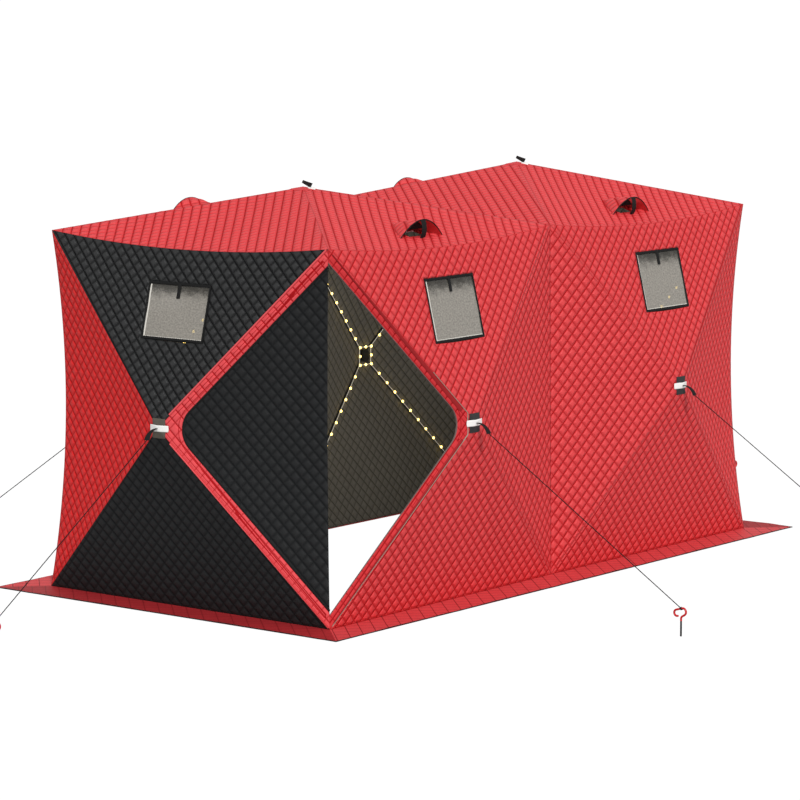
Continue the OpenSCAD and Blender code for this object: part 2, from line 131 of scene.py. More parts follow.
def add(tree, kind, inputs=None, **settings):
    node = tree.nodes.new("ShaderNode" + kind)
    for name, value in settings.items():
        setattr(node, name, value)
    feed(tree, node, inputs or {})
    return node


def new_material(name):
    material = bpy.data.materials.new(name)
    material.use_nodes = True
    tree = material.node_tree
    return material, tree, tree.nodes["Principled BSDF"]


print("example, a red in linear values:", [round(c, 3) for c in srgb("#d0262b")])

# %% [markdown]
# ## Floor and light
#
# The photograph is cut out on white. A pale floor and a white world give that, and the floor shows
# white to the camera while part of it still takes the shelter's shadow. The photograph's own light
# is not known. One sun lamp from above, between the two walls that show, lights the long wall more.
# Its strength and the world's were set by comparing colours with the photograph.

# %% Floor, world and lamp
FLOOR_SIZE = 400.0
FLOOR_GLOW, FLOOR_STRENGTH = 0.96, 1.06
AMBIENT = 0.58
SUN_FROM = Vector((-0.50, -0.62, 0.60))
SUN_STRENGTH, SUN_ANGLE = 2.4, math.radians(8)
ROOM_STRENGTH, ROOM_RADIUS, ROOM_PLACE = 26.0, 0.35, (0.45, -0.3, 0.95)

floor_mesh = bpy.data.meshes.new("floor")
half_floor = FLOOR_SIZE / 2
floor_corners = [(x * half_floor, y * half_floor, 0) for x, y in ((-1, -1), (1, -1), (1, 1), (-1, 1))]
floor_mesh.from_pydata(floor_corners, [], [(0, 1, 2, 3)])
floor = bpy.data.objects.new("floor", floor_mesh)
floor.location.z = -0.5 * MM
bpy.context.scene.collection.objects.link(floor)


def seen_directly(tree):
    """1 where the camera looks, or looks through clear film, and 0 where light only bounces."""
    path = add(tree, "LightPath")
    seen = add(tree, "Math", {
        0: path.outputs["Is Camera Ray"], 1: path.outputs["Is Transmission Ray"]}, operation="MAXIMUM")
    return seen


floor_material, tree, _ = new_material("pale studio floor")
tree.nodes.clear()
lit = add(tree, "BsdfDiffuse", {"Color": srgb("#bcbcbc")})
white = add(tree, "Emission", {"Color": (1, 1, 1, 1), "Strength": FLOOR_STRENGTH})
share = add(tree, "Math", {0: seen_directly(tree), 1: FLOOR_GLOW}, operation="MULTIPLY")
mixed = add(tree, "MixShader", {0: share, 1: lit, 2: white})
add(tree, "OutputMaterial", {"Surface": mixed})
floor_mesh.materials.append(floor_material)

world = bpy.data.worlds.new("white studio")
world.use_nodes = True
bpy.context.scene.world = world
tree = world.node_tree
tree.nodes.clear()
strength = add(tree, "MapRange", {"Value": seen_directly(tree), "To Min": AMBIENT, "To Max": 1.0})
sky = add(tree, "Background", {"Color": (1, 1, 1, 1), "Strength": strength})
add(tree, "OutputWorld", {"Surface": sky})

sun_data = bpy.data.lights.new("key_sun", "SUN")
sun_data.energy = SUN_STRENGTH
sun_data.angle = SUN_ANGLE
sun = bpy.data.objects.new("key_sun", sun_data)
sun.rotation_euler = (-SUN_FROM).to_track_quat("-Z", "Y").to_euler()
sun.location = SUN_FROM * 10
bpy.context.scene.collection.objects.link(sun)

# One soft lamp in the middle of the room stands for the light that shows on the lining
room_data = bpy.data.lights.new("room_light", "POINT")
room_data.energy = ROOM_STRENGTH
room_data.shadow_soft_size = ROOM_RADIUS
room_light = bpy.data.objects.new("room_light", room_data)
room_light.location = ROOM_PLACE
bpy.context.scene.collection.objects.link(room_light)
bpy.context.scene.view_settings.view_transform = "Standard"
print("light comes from", [round(c, 2) for c in SUN_FROM.normalized()])

# %% [markdown]
# ## Quilted cloth
#
# The walls and roofs are quilted: a woven polyester face, a thin fill and a lining, stitched through
# in a lattice of diamonds. Each mesh below carries its own lattice as a point attribute called
# "quilt", in diamonds, with the distance to the nearest seam in millimetres as the third number.
# A second attribute, "flat", is the cloth's own plane in metres, for the weave. Reading attributes
# keeps stitches exactly in the valleys of the mesh, which an unwrapped map could miss.

# %% Quilt material
QUILT_WIDE = 63 * MM
QUILT_TALL = 65 * MM
LINE_SPACING_MM = QUILT_WIDE * QUILT_TALL / math.hypot(QUILT_WIDE, QUILT_TALL) / MM
# The cloth is darker this far from a stitch line, for the thread and for painted shade in its valley, and its
# crease is this wide and deep
SHADE_FROM_MM, SHADE_TO_MM = 0.5, 6.0
CREASE_MM = 12.0
# One diagonal of the lattice gets more painted shade than the other, as the light falls across it; on the
# long walls and the ends it is not the same diagonal
LIGHTLY_SHADED_LINES, DEEPLY_SHADED_LINES = 0.6, 1.0
QUILT_ROUGHNESS = 0.6
STITCH_LENGTH_MM = 6.0
SEAM_HALF_MM = 3.0
ROW_HALF_MM = 1.6
# Real threads lie about 0.5 mm apart. They are drawn at 3 mm, the finest that the render can show.
THREAD_MM = 3.0


def quilted_cloth(name, cloth_hex, worn_hex, stitch_and_shade_hex, gloss, crease_mm, row_mm=None):
    material, tree, shader = new_material(name)
    lattice = add(tree, "Attribute", attribute_name="quilt")
    parts = add(tree, "SeparateXYZ", {0: lattice.outputs["Vector"]})
    to_lines, shades, hollows = [], [], []
    for across, along, share in (("X", "Y", LIGHTLY_SHADED_LINES), ("Y", "X", DEEPLY_SHADED_LINES)):
        # Distance to the nearest stitch line, made uneven so that single stitches show close to
        away = add(tree, "Math", {0: parts.outputs[across], 1: 1.0}, operation="PINGPONG")
        near = add(tree, "Math", {0: 0.5, 1: away}, operation="SUBTRACT")
        near = add(tree, "Math", {0: near}, operation="ABSOLUTE")
        off = add(tree, "Math", {0: 0.5, 1: near}, operation="SUBTRACT")
        off_mm = add(tree, "Math", {0: off, 1: LINE_SPACING_MM}, operation="MULTIPLY")
        count = add(tree, "Math", {0: parts.outputs[along], 1: LINE_SPACING_MM / STITCH_LENGTH_MM},
                    operation="MULTIPLY")
        beat = add(tree, "Math", {0: count, 1: 1.0}, operation="PINGPONG")
        gap = add(tree, "MapRange", {"Value": beat, "From Min": 0.0, "From Max": 0.35,
                                               "To Min": 0.8, "To Max": 0.0})
        to_lines.append(add(tree, "Math", {0: off_mm, 1: gap}, operation="ADD"))
        # Painted shade: the cloth darkens towards each stitch line, for the thread and for the shade in its
        # valley, more on one diagonal
        shades.append(add(tree, "MapRange", {
            "Value": to_lines[-1], "From Min": SHADE_FROM_MM, "From Max": SHADE_TO_MM,
            "To Min": share, "To Max": 0.0}, interpolation_type="SMOOTHSTEP"))
        hollows.append(add(tree, "MapRange", {
            "Value": to_lines[-1], "From Max": CREASE_MM, "To Min": share, "To Max": 0.0}))
    nearest = add(tree, "Math", {0: to_lines[0], 1: to_lines[1]},
                  operation="MINIMUM")
    dark = add(tree, "Math", {0: shades[0], 1: shades[1]}, operation="MAXIMUM")
    seam = add(tree, "MapRange", {
        "Value": parts.outputs["Z"], "From Min": SEAM_HALF_MM * 0.4, "From Max": SEAM_HALF_MM,
        "To Min": 0.7, "To Max": 0.0}, interpolation_type="SMOOTHSTEP")
    dark = add(tree, "Math", {0: dark, 1: seam}, operation="MAXIMUM")
    if row_mm:
        row = add(tree, "Math", {0: parts.outputs["Z"], 1: row_mm, 2: ROW_HALF_MM}, operation="COMPARE")
        dark = add(tree, "Math", {0: dark, 1: row}, operation="MAXIMUM")

    plane = add(tree, "Attribute", attribute_name="flat")
    drift = add(tree, "TexNoise", {"Vector": plane.outputs["Vector"], "Scale": 4.0, "Detail": 3.0})
    shade = add(tree, "Mix", {0: drift.outputs["Fac"], 6: srgb(cloth_hex), 7: srgb(worn_hex)},
                data_type="RGBA")
    # The stitch colour stands for the thread and for painted shade along the lines
    colour = add(tree, "Mix", {0: dark, 6: shade.outputs[2], 7: srgb(stitch_and_shade_hex)},
                 data_type="RGBA")

    weave = [add(tree, "TexWave", {
        "Vector": plane.outputs["Vector"], "Scale": 2 * math.pi / (THREAD_MM * MM) / 20, "Distortion": 0.4,
        "Detail": 1.0}, wave_type="BANDS", bands_direction=direction) for direction in ("X", "Y")]
    threads = add(tree, "Math", {0: weave[0].outputs["Fac"], 1: weave[1].outputs["Fac"]},
                  operation="MULTIPLY")
    to_crease = add(tree, "Math", {0: nearest, 1: parts.outputs["Z"]}, operation="MINIMUM")
    crease = add(tree, "MapRange", {"Value": to_crease, "From Max": CREASE_MM,
                                              "To Max": crease_mm})
    height = add(tree, "Math", {0: threads, 1: 0.3, 2: crease},
                 operation="MULTIPLY_ADD")
    bump = add(tree, "Bump", {"Height": height, "Strength": 1.0, "Distance": MM})
    # Less shine in the creases than on the crowns keeps the stitch lines dark
    hollow = add(tree, "Math", {0: hollows[0], 1: hollows[1]}, operation="MAXIMUM")
    shine = add(tree, "MapRange", {"Value": hollow, "To Min": gloss, "To Max": 0.0})
    feed(tree, shader, {"Base Color": colour.outputs[2], "Normal": bump, "Specular IOR Level": shine,
                        "Roughness": QUILT_ROUGHNESS})
    return material


# Red face cloth: a bright woven face whose puffed diamonds catch the light between dark stitch lines, which
# carry painted shade
red_quilt = quilted_cloth("red woven polyester, quilted", "#de393d", "#d63236", "#aa0c11", 0.75, 7.0)
# Painted shade: the same red cloth on the ends, in a deeper red and with less shine and a fainter lattice, as
# the ends catch less light than the long walls
shaded_end_red_quilt = quilted_cloth("red woven polyester, quilted, painted shade", "#da2a2b", "#d22526", "#ae0b0e", 0.35, 5.5)
# Black face cloth: the same weave in black, so only the puffs show as soft grey
black_quilt = quilted_cloth("black woven polyester, quilted", "#1a1b1c", "#161718", "#131314", 0.68, 8.5)
# Painted light: a copy of the same black cloth for the door flap and the ends' lower panels, which show
# flatter in their light, with less shine, shallower creases and a slightly lighter black
flat_lit_black_quilt = quilted_cloth(
    "black woven polyester, quilted, flat-lit copy", "#202122", "#1d1e1f", "#1b1c1d", 0.22, 3.0)
# Lining: thin dark taffeta, browner and duller than the black cloth
lining_quilt = quilted_cloth("dark lining taffeta, quilted", "#716c62", "#676259", "#4a473f", 0.1, 4.0)
print("quilt lines are", round(LINE_SPACING_MM, 1), "mm apart")

# %% [markdown]
# ## Faces, corners and cloth points
#
# A face is addressed by its kind and its sides, and a corner by three small numbers, exactly as the
# solids were designed. A flat point (u across, v up, from the hub) finds its place in a panel as a
# share of the way out from the hub and along the seam. An inset moves it into or out of the cloth.
# With this one rule, quilting, borders, bands and zips can all be drawn flat and laid on the face.

# %% Cloth geometry
NEAR_END, FAR_END = ("end", -1, 0), ("end", 1, 0)
FRONT_1, FRONT_2 = ("long", -1, -1), ("long", 1, -1)
BACK_1, BACK_2 = ("long", -1, 1), ("long", 1, 1)
ROOF_1, ROOF_2 = ("roof", -1, 0), ("roof", 1, 0)
WALL_NAMES = {
    NEAR_END: "near_end", FAR_END: "far_end", FRONT_1: "front_bay_1", FRONT_2: "front_bay_2",
    BACK_1: "back_bay_1", BACK_2: "back_bay_2",
}
ROOFS = (ROOF_1, ROOF_2)


def corner_at(c):
    lean = c[2] * EAVE_LEAN
    back = SEAM_IN if c[0] == 0 else 0.0
    height = EAVE if c[2] else SKIRT_THICK
    return np.array([c[0] * (BAY - lean), c[1] * (HALF_WIDTH - lean - back), height])


def face_frame(face):
    """Hub and the directions across, up and out of a face."""
    kind, x, y = face
    if kind == "roof":
        return np.array([x * BAY / 2, 0, EAVE + ROOF_RISES[x]]), *np.eye(3)
    up = np.array([0, 0, 1.0])
    if kind == "end":
        hub, out = [x * (BAY + END_BULGE), 0, HUB_HEIGHT], np.array([x, 0, 0.0])
    else:
        hub, out = [x * BAY / 2, y * (HALF_WIDTH + SIDE_BULGE), HUB_HEIGHT], np.array([0, y, 0.0])
    return np.array(hub), np.cross(up, out), up, out


def cross_seams(face):
    kind, x, y = face
    if kind == "end":
        return [((x, -1, z), (x, 1, z)) for z in (0, 1)]
    if kind == "long":
        return [((0, y, z), (x, y, z)) for z in (0, 1)]
    return [((0, side, 1), (x, side, 1)) for side in (-1, 1)]


def side_seams(face):
    kind, x, y = face
    if kind == "end":
        return [((x, side, 0), (x, side, 1)) for side in (-1, 1)]
    if kind == "long":
        return [((along, y, 0), (along, y, 1)) for along in (0, x)]
    return [((along, -1, 1), (along, 1, 1)) for along in (0, x)]


def draw_of(a, b):
    """How far the middle of a seam moves: eaves sag, corner edges are drawn in, the rest is straight."""
    if a[2] + b[2] == 0 or (a[0] == 0 and b[0] == 0):
        return np.zeros(3)
    if a[2] == b[2]:
        return np.array([0, 0, -BACK_SAG if a[1] + b[1] > 0 else -EAVE_SAG])
    return -CORNER_DRAW * np.array([a[0], a[1], 0])


def flat_corners(face, seam):
    hub, across, up, _ = face_frame(face)
    return np.array([[(corner_at(c) - hub) @ across, (corner_at(c) - hub) @ up] for c in seam])


def on_cloth(face, seam, flat, inset):
    """Places flat points (n, 2) on a panel, at one inset or one for each point."""
    hub, _, _, out = face_frame(face)
    flat = np.atleast_2d(np.asarray(flat, float))
    inset = np.broadcast_to(np.asarray(inset, float), len(flat))[:, None]
    shares = flat @ np.linalg.inv(flat_corners(face, seam))
    reach = shares.sum(1, keepdims=True)
    away = np.abs(reach) > 1e-9
    along = np.where(away, shares[:, 1:] / np.where(away, reach, 1), 0.5)
    ends = [corner_at(c) - inset * np.array(c, float) for c in seam]
    edge = ends[0] * (1 - along) + ends[1] * along + draw_of(*seam) * 4 * along * (1 - along)
    tip = hub - inset * out
    return tip + reach * (edge - tip)


def on_hub(face, flat, inset):
    """Places flat points on whichever panels of a face they fall on."""
    flat = np.asarray(flat, float)
    best, placed = np.full(len(flat), -np.inf), np.zeros((len(flat), 3))
    for seam in cross_seams(face) + side_seams(face):
        score = (flat @ np.linalg.inv(flat_corners(face, seam))).min(1)
        better = score > best
        placed = np.where(better[:, None], on_cloth(face, seam, flat, inset), placed)
        best = np.maximum(best, score)
    return placed


def flat_of(face, seam, seen, rounds=12):
    """Flat points whose places on the cloth, seen straight on, are the given ones."""
    hub, across, up, _ = face_frame(face)
    seen = np.atleast_2d(np.asarray(seen, float))
    flat = seen.copy()
    for _ in range(rounds):
        placed = on_cloth(face, seam, flat, 0.0) - hub
        flat += seen - np.stack([placed @ across, placed @ up], 1)
    return flat


hub, _, _, out = face_frame(FRONT_1)
print("front hub of bay 1:", hub, "facing", out)

# %% [markdown]
# ## Quilting a panel
#
# A grid that follows the stitch lattice is laid over the flat triangle and cut to its outline, so a
# row of edges lies in every stitch line. Then each point is pushed out by how far it is from the
# stitches, and laid on the face. An inner skin with the lining goes on the other side, and the two
# are joined round every edge, which makes a closed quilt of real thickness. A displacement map could
# do the same, but here the stitches stay crisp with few faces.

# %% Panel builder
STEPS = 3
# The patch holds the cloth flat this far round the hub
HUB_FLAT = 0.050
STITCH_SINK = 0.5 * MM
SEAM_FADE = 45 * MM
# Insets of the outer and inner skin at the stitches, and how far the quilting puffs from each
WALL_SKINS = (STITCH_SINK, 4.5 * MM, CLOTH, 3.0 * MM)


def outline_lines(outline):
    """Each side of an anticlockwise outline as a point and the direction into it."""
    points = np.asarray(outline, float)
    ahead = np.roll(points, -1, axis=0) - points
    inward = np.stack([-ahead[:, 1], ahead[:, 0]], 1)
    return points, inward / np.linalg.norm(inward, axis=1, keepdims=True)


def depth_in(outline, flat):
    """Distance of flat points inside a convex outline, negative outside."""
    points, inward = outline_lines(outline)
    return ((flat[:, None] - points[None]) * inward[None]).sum(2).min(1)


def anticlockwise(outline):
    p = np.asarray(outline, float)
    area = (p[:, 0] * np.roll(p[:, 1], -1) - p[:, 1] * np.roll(p[:, 0], -1)).sum()
    return p if area > 0 else p[::-1]


# Stitch lines on some roof panels are turned to suit the photograph: the near one most, the front ones little
QUILT_TURNS = {(ROOF_1, side_seams(ROOF_1)[1]): math.radians(-9)}
QUILT_TURNS |= {(roof, cross_seams(roof)[0]): math.radians(-2.5) for roof in ROOFS}


def turned(flat, angle):
    c, s = math.cos(angle), math.sin(angle)
    return flat @ np.array([[c, s], [-s, c]])


def lattice_of(flat, turn=0.0):
    u, v = (turned(flat, -turn) / (QUILT_WIDE, QUILT_TALL)).T
    return np.stack([u + v, u - v], 1)


def flat_at(lattice, turn=0.0):
    total, difference = lattice.sum(1), lattice[:, 0] - lattice[:, 1]
    return turned(np.stack([QUILT_WIDE * total / 2, QUILT_TALL * difference / 2], 1), turn)


def bisect(bm, point, outward, geometry, clear):
    bmesh.ops.bisect_plane(bm, geom=geometry, dist=1e-7, plane_co=(*point, 0), plane_no=(*outward, 0),
                           clear_outer=clear)


def cut_to(bm, outline):
    for point, inward in zip(*outline_lines(outline)):
        bisect(bm, point, -inward, bm.verts[:] + bm.edges[:] + bm.faces[:], True)


def faces_in(bm, outline, margin):
    centres = np.array([f.calc_center_median()[:2] for f in bm.faces])
    return [f for f, inside in zip(bm.faces[:], depth_in(outline, centres) > margin) if inside]


def punch(bm, outline):
    """Cuts a convex hole out of a flat mesh."""
    for point, inward in zip(*outline_lines(outline)):
        near = faces_in(bm, outline, -QUILT_TALL / STEPS)
        edges = list({e for f in near for e in f.edges})
        verts = list({v for f in near for v in f.verts})
        bisect(bm, point, -inward, verts + edges + near, False)
    bmesh.ops.delete(bm, geom=faces_in(bm, outline, 0), context="FACES")


def lattice_grid(outline, turn):
    """A flat mesh of lattice cells that covers a convex outline."""
    bm = bmesh.new()
    low, high = outline.min(0), outline.max(0)
    reach = lattice_of(np.array([[u, v] for u in (low[0], high[0]) for v in (low[1], high[1])]), turn)
    first, last = np.floor(reach.min(0)) * STEPS, np.ceil(reach.max(0)) * STEPS
    i, j = np.meshgrid(np.arange(first[0], last[0]), np.arange(first[1], last[1]), indexing="ij")
    cells = np.stack([i.ravel(), j.ravel()], 1)
    cells = cells[depth_in(outline, flat_at((cells + 0.5) / STEPS, turn)) > -QUILT_TALL / STEPS].astype(int)
    corners = (cells[:, None] + np.array([[0, 0], [0, 1], [1, 1], [1, 0]])).reshape(-1, 2)
    unique, index = np.unique(corners, axis=0, return_inverse=True)
    verts = [bm.verts.new((*point, 0)) for point in flat_at(unique / STEPS, turn)]
    for four in index.reshape(-1, 4):
        bm.faces.new([verts[n] for n in four])
    return bm


def puff(lattice):
    """0 on the stitches, 1 in the middle of a diamond, a little different from one to the next."""
    cell = np.floor(lattice + 1e-6)
    soft = np.abs(np.sin(np.pi * lattice)).prod(1) ** 0.6
    chance = np.abs(np.sin(cell @ np.array([12.9898, 78.233])) * 43758.5453) % 1
    return soft * (0.85 + 0.3 * chance)


def new_piece(name, mesh, materials):
    for material in materials:
        mesh.materials.append(material)
    piece = bpy.data.objects.new(name, mesh)
    bpy.context.scene.collection.objects.link(piece)
    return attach(piece, "root")


def set_point_values(mesh, name, values):
    layer = mesh.attributes.new(name, "FLOAT_VECTOR", "POINT")
    layer.data.foreach_set("vector", np.asarray(values, np.float32).ravel())


def quilt_mesh(name, panels, skins):
    """One mesh of several quilted panels: (face, seam, keep, drops), where keep and drops are outlines."""
    places, quilts, flats, polygons, sides = [], [], [], [], []
    start = 0
    out_at, out_puff, in_at, in_puff = skins
    for face, seam, keep, drops in panels:
        triangle = anticlockwise(np.vstack([[0, 0], flat_corners(face, seam)]))
        turn = QUILT_TURNS.get((face, seam), 0.0)
        bm = lattice_grid(triangle, turn)
        cut_to(bm, triangle)
        if keep is not None:
            cut_to(bm, keep)
        for hole in drops:
            punch(bm, hole)
        bmesh.ops.remove_doubles(bm, verts=bm.verts[:], dist=1e-6)
        bm.verts.index_update()
        flat = np.array([v.co[:2] for v in bm.verts])
        count = len(flat)
        outlines = [triangle, *drops] + ([] if keep is None else [keep])
        to_seam = np.min([np.abs(depth_in(outline, flat)) for outline in outlines], axis=0)
        lattice = lattice_of(flat, turn)
        from_hub = (np.linalg.norm(flat, axis=1) - HUB_FLAT) / HUB_FLAT
        lift = puff(lattice) * np.clip(to_seam / SEAM_FADE, 0, 1) * np.clip(from_hub, 0, 1)
        insets = (out_at - out_puff * lift, in_at + in_puff * lift)
        places += [on_cloth(face, seam, flat, inset) for inset in insets]
        # On the ends the light falls the other way, so the other diagonal takes the painted shade
        drawn = lattice[:, ::-1] if face[0] == "end" else lattice
        quilts.append(np.tile(np.column_stack([drawn, to_seam / MM]), (2, 1)))
        flats.append(np.tile(np.column_stack([flat, np.zeros(count)]), (2, 1)))
        for f in bm.faces:
            loop = [v.index + start for v in f.verts]
            polygons += [loop, [n + count for n in reversed(loop)]]
            sides += [0, 1]
        for e in bm.edges:
            if e.is_boundary:
                first = e.link_loops[0].vert.index + start
                second = e.link_loops[0].link_loop_next.vert.index + start
                polygons.append([second, first, first + count, second + count])
                sides.append(0)
        start += 2 * count
        bm.free()
    mesh = bpy.data.meshes.new(name)
    mesh.from_pydata(np.vstack(places).tolist(), [], polygons)
    set_point_values(mesh, "quilt", np.vstack(quilts))
    set_point_values(mesh, "flat", np.vstack(flats))
    mesh.polygons.foreach_set("material_index", sides)
    mesh.shade_smooth()
    mesh.set_sharp_from_angle(angle=math.radians(60))
    return mesh


print("a diamond is", STEPS * STEPS * 2, "triangles on each skin")

# %% [markdown]
# ## Window, vent and door outlines
#
# Holes are convex outlines in the flat plane of a panel. Windows and vent holes are rectangles. The
# doorway is a wedge with a rounded point: two lines parallel to the poles, a band's width away, with
# an arc between them.

# %% Outlines of the holes
WINDOW_WIDE = 0.395
WINDOW_TALL = {"end": 0.271, "long": 0.306}
WINDOW_RISE = EAVE - 0.342 - HUB_HEIGHT
BORDER = 0.011
VENT_Y = HALF_WIDTH - EAVE_LEAN - 0.139
AIR_WIDE, AIR_LONG, AIR_START = 0.120, 0.065, 0.025
BANDS = {NEAR_END: 0.054, FRONT_1: 0.046}
DOOR_RADII = {NEAR_END: 0.130, FRONT_1: 0.125}
HUB_HOLE = 0.022


def rectangle(middle_u, middle_v, wide, tall):
    corners = ((-1, -1), (1, -1), (1, 1), (-1, 1))
    return np.array([[middle_u + a * wide / 2, middle_v + b * tall / 2] for a, b in corners])


def window_outline(face):
    seen = rectangle(0, WINDOW_RISE, WINDOW_WIDE, WINDOW_TALL[face[0]])
    return anticlockwise(flat_of(face, cross_seams(face)[1], seen))


def air_outline(face, seam):
    middle = seam[0][1] * (VENT_Y - AIR_START - AIR_LONG / 2)
    return anticlockwise(flat_of(face, seam, rectangle(0, middle, AIR_WIDE, AIR_LONG)))


def hub_outline():
    turns = np.arange(16) * 2 * np.pi / 16
    return HUB_HOLE * np.stack([np.cos(turns), np.sin(turns)], 1)


def doorway_path(face, seam, past=0.0, inside=0.0):
    """The doorway's edge from seam to seam, in at one pole, round the point and out along the other."""
    corners = flat_corners(face, seam)
    rays = corners / np.linalg.norm(corners, axis=1, keepdims=True)
    middle = rays.sum(0) / np.linalg.norm(rays.sum(0))
    half = math.acos(np.clip(rays[0] @ middle, -1, 1))
    radius = DOOR_RADII[face]
    centre = middle * (BANDS[face] + radius) / math.sin(half)
    aside = np.array([-middle[1], middle[0]])
    aside = aside if aside @ rays[1] > 0 else -aside
    swing = np.linspace(-1, 1, 13)[:, None] * (math.pi / 2 - half)
    arc = centre + (radius - inside) * (-np.cos(swing) * middle + np.sin(swing) * aside)
    reach = np.linalg.inv(corners).sum(1)
    legs = [(1 + past - tip @ reach) / (ray @ reach) for tip, ray in ((arc[0], rays[0]), (arc[-1], rays[1]))]
    steps = np.linspace(0, 1, 25)[1:, None]
    return np.vstack([(arc[0] + rays[0] * legs[0] * steps)[::-1], arc, arc[-1] + rays[1] * legs[1] * steps])


def doorway_outline(face, seam):
    path = doorway_path(face, seam, past=1.0)
    return anticlockwise(np.vstack([path[0], path[24:37], path[-1]]))


END_DOOR = side_seams(NEAR_END)[0]
FRONT_DOOR = side_seams(FRONT_1)[1]
print("doorway point from the end hub:", np.round(doorway_path(NEAR_END, END_DOOR)[30], 3))

# %% [markdown]
# ## Walls and roofs
#
# Every panel of the solids gets its quilt. The near and far ends have black cloth above and below
# the hub and red at the sides; everything else is red. The lining inside is one dark taffeta.

# %% Make the wall and roof quilts
def quilt_piece(node, panels, outer, skins=WALL_SKINS):
    mesh = quilt_mesh(node + "_quilt", panels, skins)
    piece = new_piece(node + "_quilt", mesh, [outer, lining_quilt])
    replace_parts(piece, node)
    return piece


def whole_panels(node, panels, outer):
    return quilt_piece(node, panels, outer)


quilts = []
for face, name in WALL_NAMES.items():
    lower, upper = cross_seams(face)
    panels = [(face, lower, None, [hub_outline()]),
              (face, upper, None, [hub_outline(), window_outline(face)])]
    cloth, slot = (black_quilt, "black_quilt") if face[0] == "end" else (red_quilt, "red_quilt")
    quilts.append(whole_panels(name + "_upper_lower_panels", panels, cloth))
    if face[0] == "end":
        # The lower panel gets the flap's flat-lit copy of the black cloth
        quilts[-1].data.materials.append(flat_lit_black_quilt)
        for polygon in quilts[-1].data.polygons:
            if polygon.material_index == 0 and polygon.center.z < HUB_HEIGHT:
                polygon.material_index = 2
    seams = [s for s in side_seams(face) if (face, s) not in ((NEAR_END, END_DOOR), (FRONT_1, FRONT_DOOR))]
    node = name + ("_side_panels" if len(seams) == 2 else "_side_panel")
    panels = [(face, s, None, [hub_outline()]) for s in seams]
    cloth = shaded_end_red_quilt if face[0] == "end" else red_quilt
    quilts.append(whole_panels(node, panels, cloth))
for number, face in enumerate(ROOFS, 1):
    vented = [(face, s, None, [hub_outline(), air_outline(face, s)]) for s in cross_seams(face)]
    plain = [(face, s, None, [hub_outline()]) for s in side_seams(face)]
    for name, panels in (("front_back_panels", vented), ("side_panels", plain)):
        node = f"roof_{number}_{name}"
        quilts.append(whole_panels(node, panels, red_quilt))
print("quilts:", len(quilts), "with", sum(len(q.data.polygons) for q in quilts), "faces")

# %% [markdown]
# ## Door
#
# The door is a diamond folded round the near corner. The end wall's half is closed by the black
# flap. The other half is unzipped and folded flat behind it, so it shows its lining to the inside. A
# red band frames both halves. It is quilted like the walls and sewn down once more in lengthwise rows.

# %% Make the bands and both halves of the flap
END_ROW_MM = 18.0
FRONT_ROW_MM = 23.0
# The same red cloth sewn in rows as well, with painted light: brighter on the end wall, and painted shade
# round the open half
lit_end_band_cloth = quilted_cloth(
    "red woven polyester, sewn in rows", "#e5565a", "#de4e52", "#a8181c", 0.05, 3.0, END_ROW_MM)
shaded_front_band_cloth = quilted_cloth(
    "red woven polyester, sewn in a middle row", "#d23c40", "#c73539", "#951216", 0.05, 3.0, FRONT_ROW_MM)
# The folded half lies one cloth further in, and only its inner side is free to puff
FOLDED_SKINS = (CLOTH + 3.5 * MM, 0.0, 2 * CLOTH + 0.5 * MM, 3.0 * MM)
BAND_SKINS = (STITCH_SINK, 5.0 * MM, CLOTH, 1.0 * MM)

end_way = doorway_outline(NEAR_END, END_DOOR)
front_way = doorway_outline(FRONT_1, FRONT_DOOR)
# Each band is its panel with the doorway and the hub cut out, and both halves of the flap fill the end wall's
# doorway
band_end = quilt_piece(
    "door_band_end", [(NEAR_END, END_DOOR, None, [end_way, hub_outline()])], lit_end_band_cloth,
    skins=BAND_SKINS)
band_front = quilt_piece(
    "door_band_front", [(FRONT_1, FRONT_DOOR, None, [front_way, hub_outline()])], shaded_front_band_cloth,
    skins=BAND_SKINS)
flap_panel = [(NEAR_END, END_DOOR, end_way, [])]
flap = quilt_piece("door_flap", flap_panel, flat_lit_black_quilt)
folded = quilt_piece(
    "door_flap_folded", flap_panel, lining_quilt, FOLDED_SKINS)
print("door faces:", [len(piece.data.polygons) for piece in (band_end, band_front, flap, folded)])

# %% [markdown]
# ## Plain materials
#
# Two families cover the rest. Woven goods are webbing, patch cloth, rope and skirt cloth: rough, with
# ribs from the loom. Moulded goods are plates, hub blocks, rods and wire: smooth, with a faint grain
# that breaks up the highlight.

# %% Woven and moulded materials
WOVEN_SHINE = 0.3
GRAIN_MM = 4.0
GRAIN_SHARE = 0.08


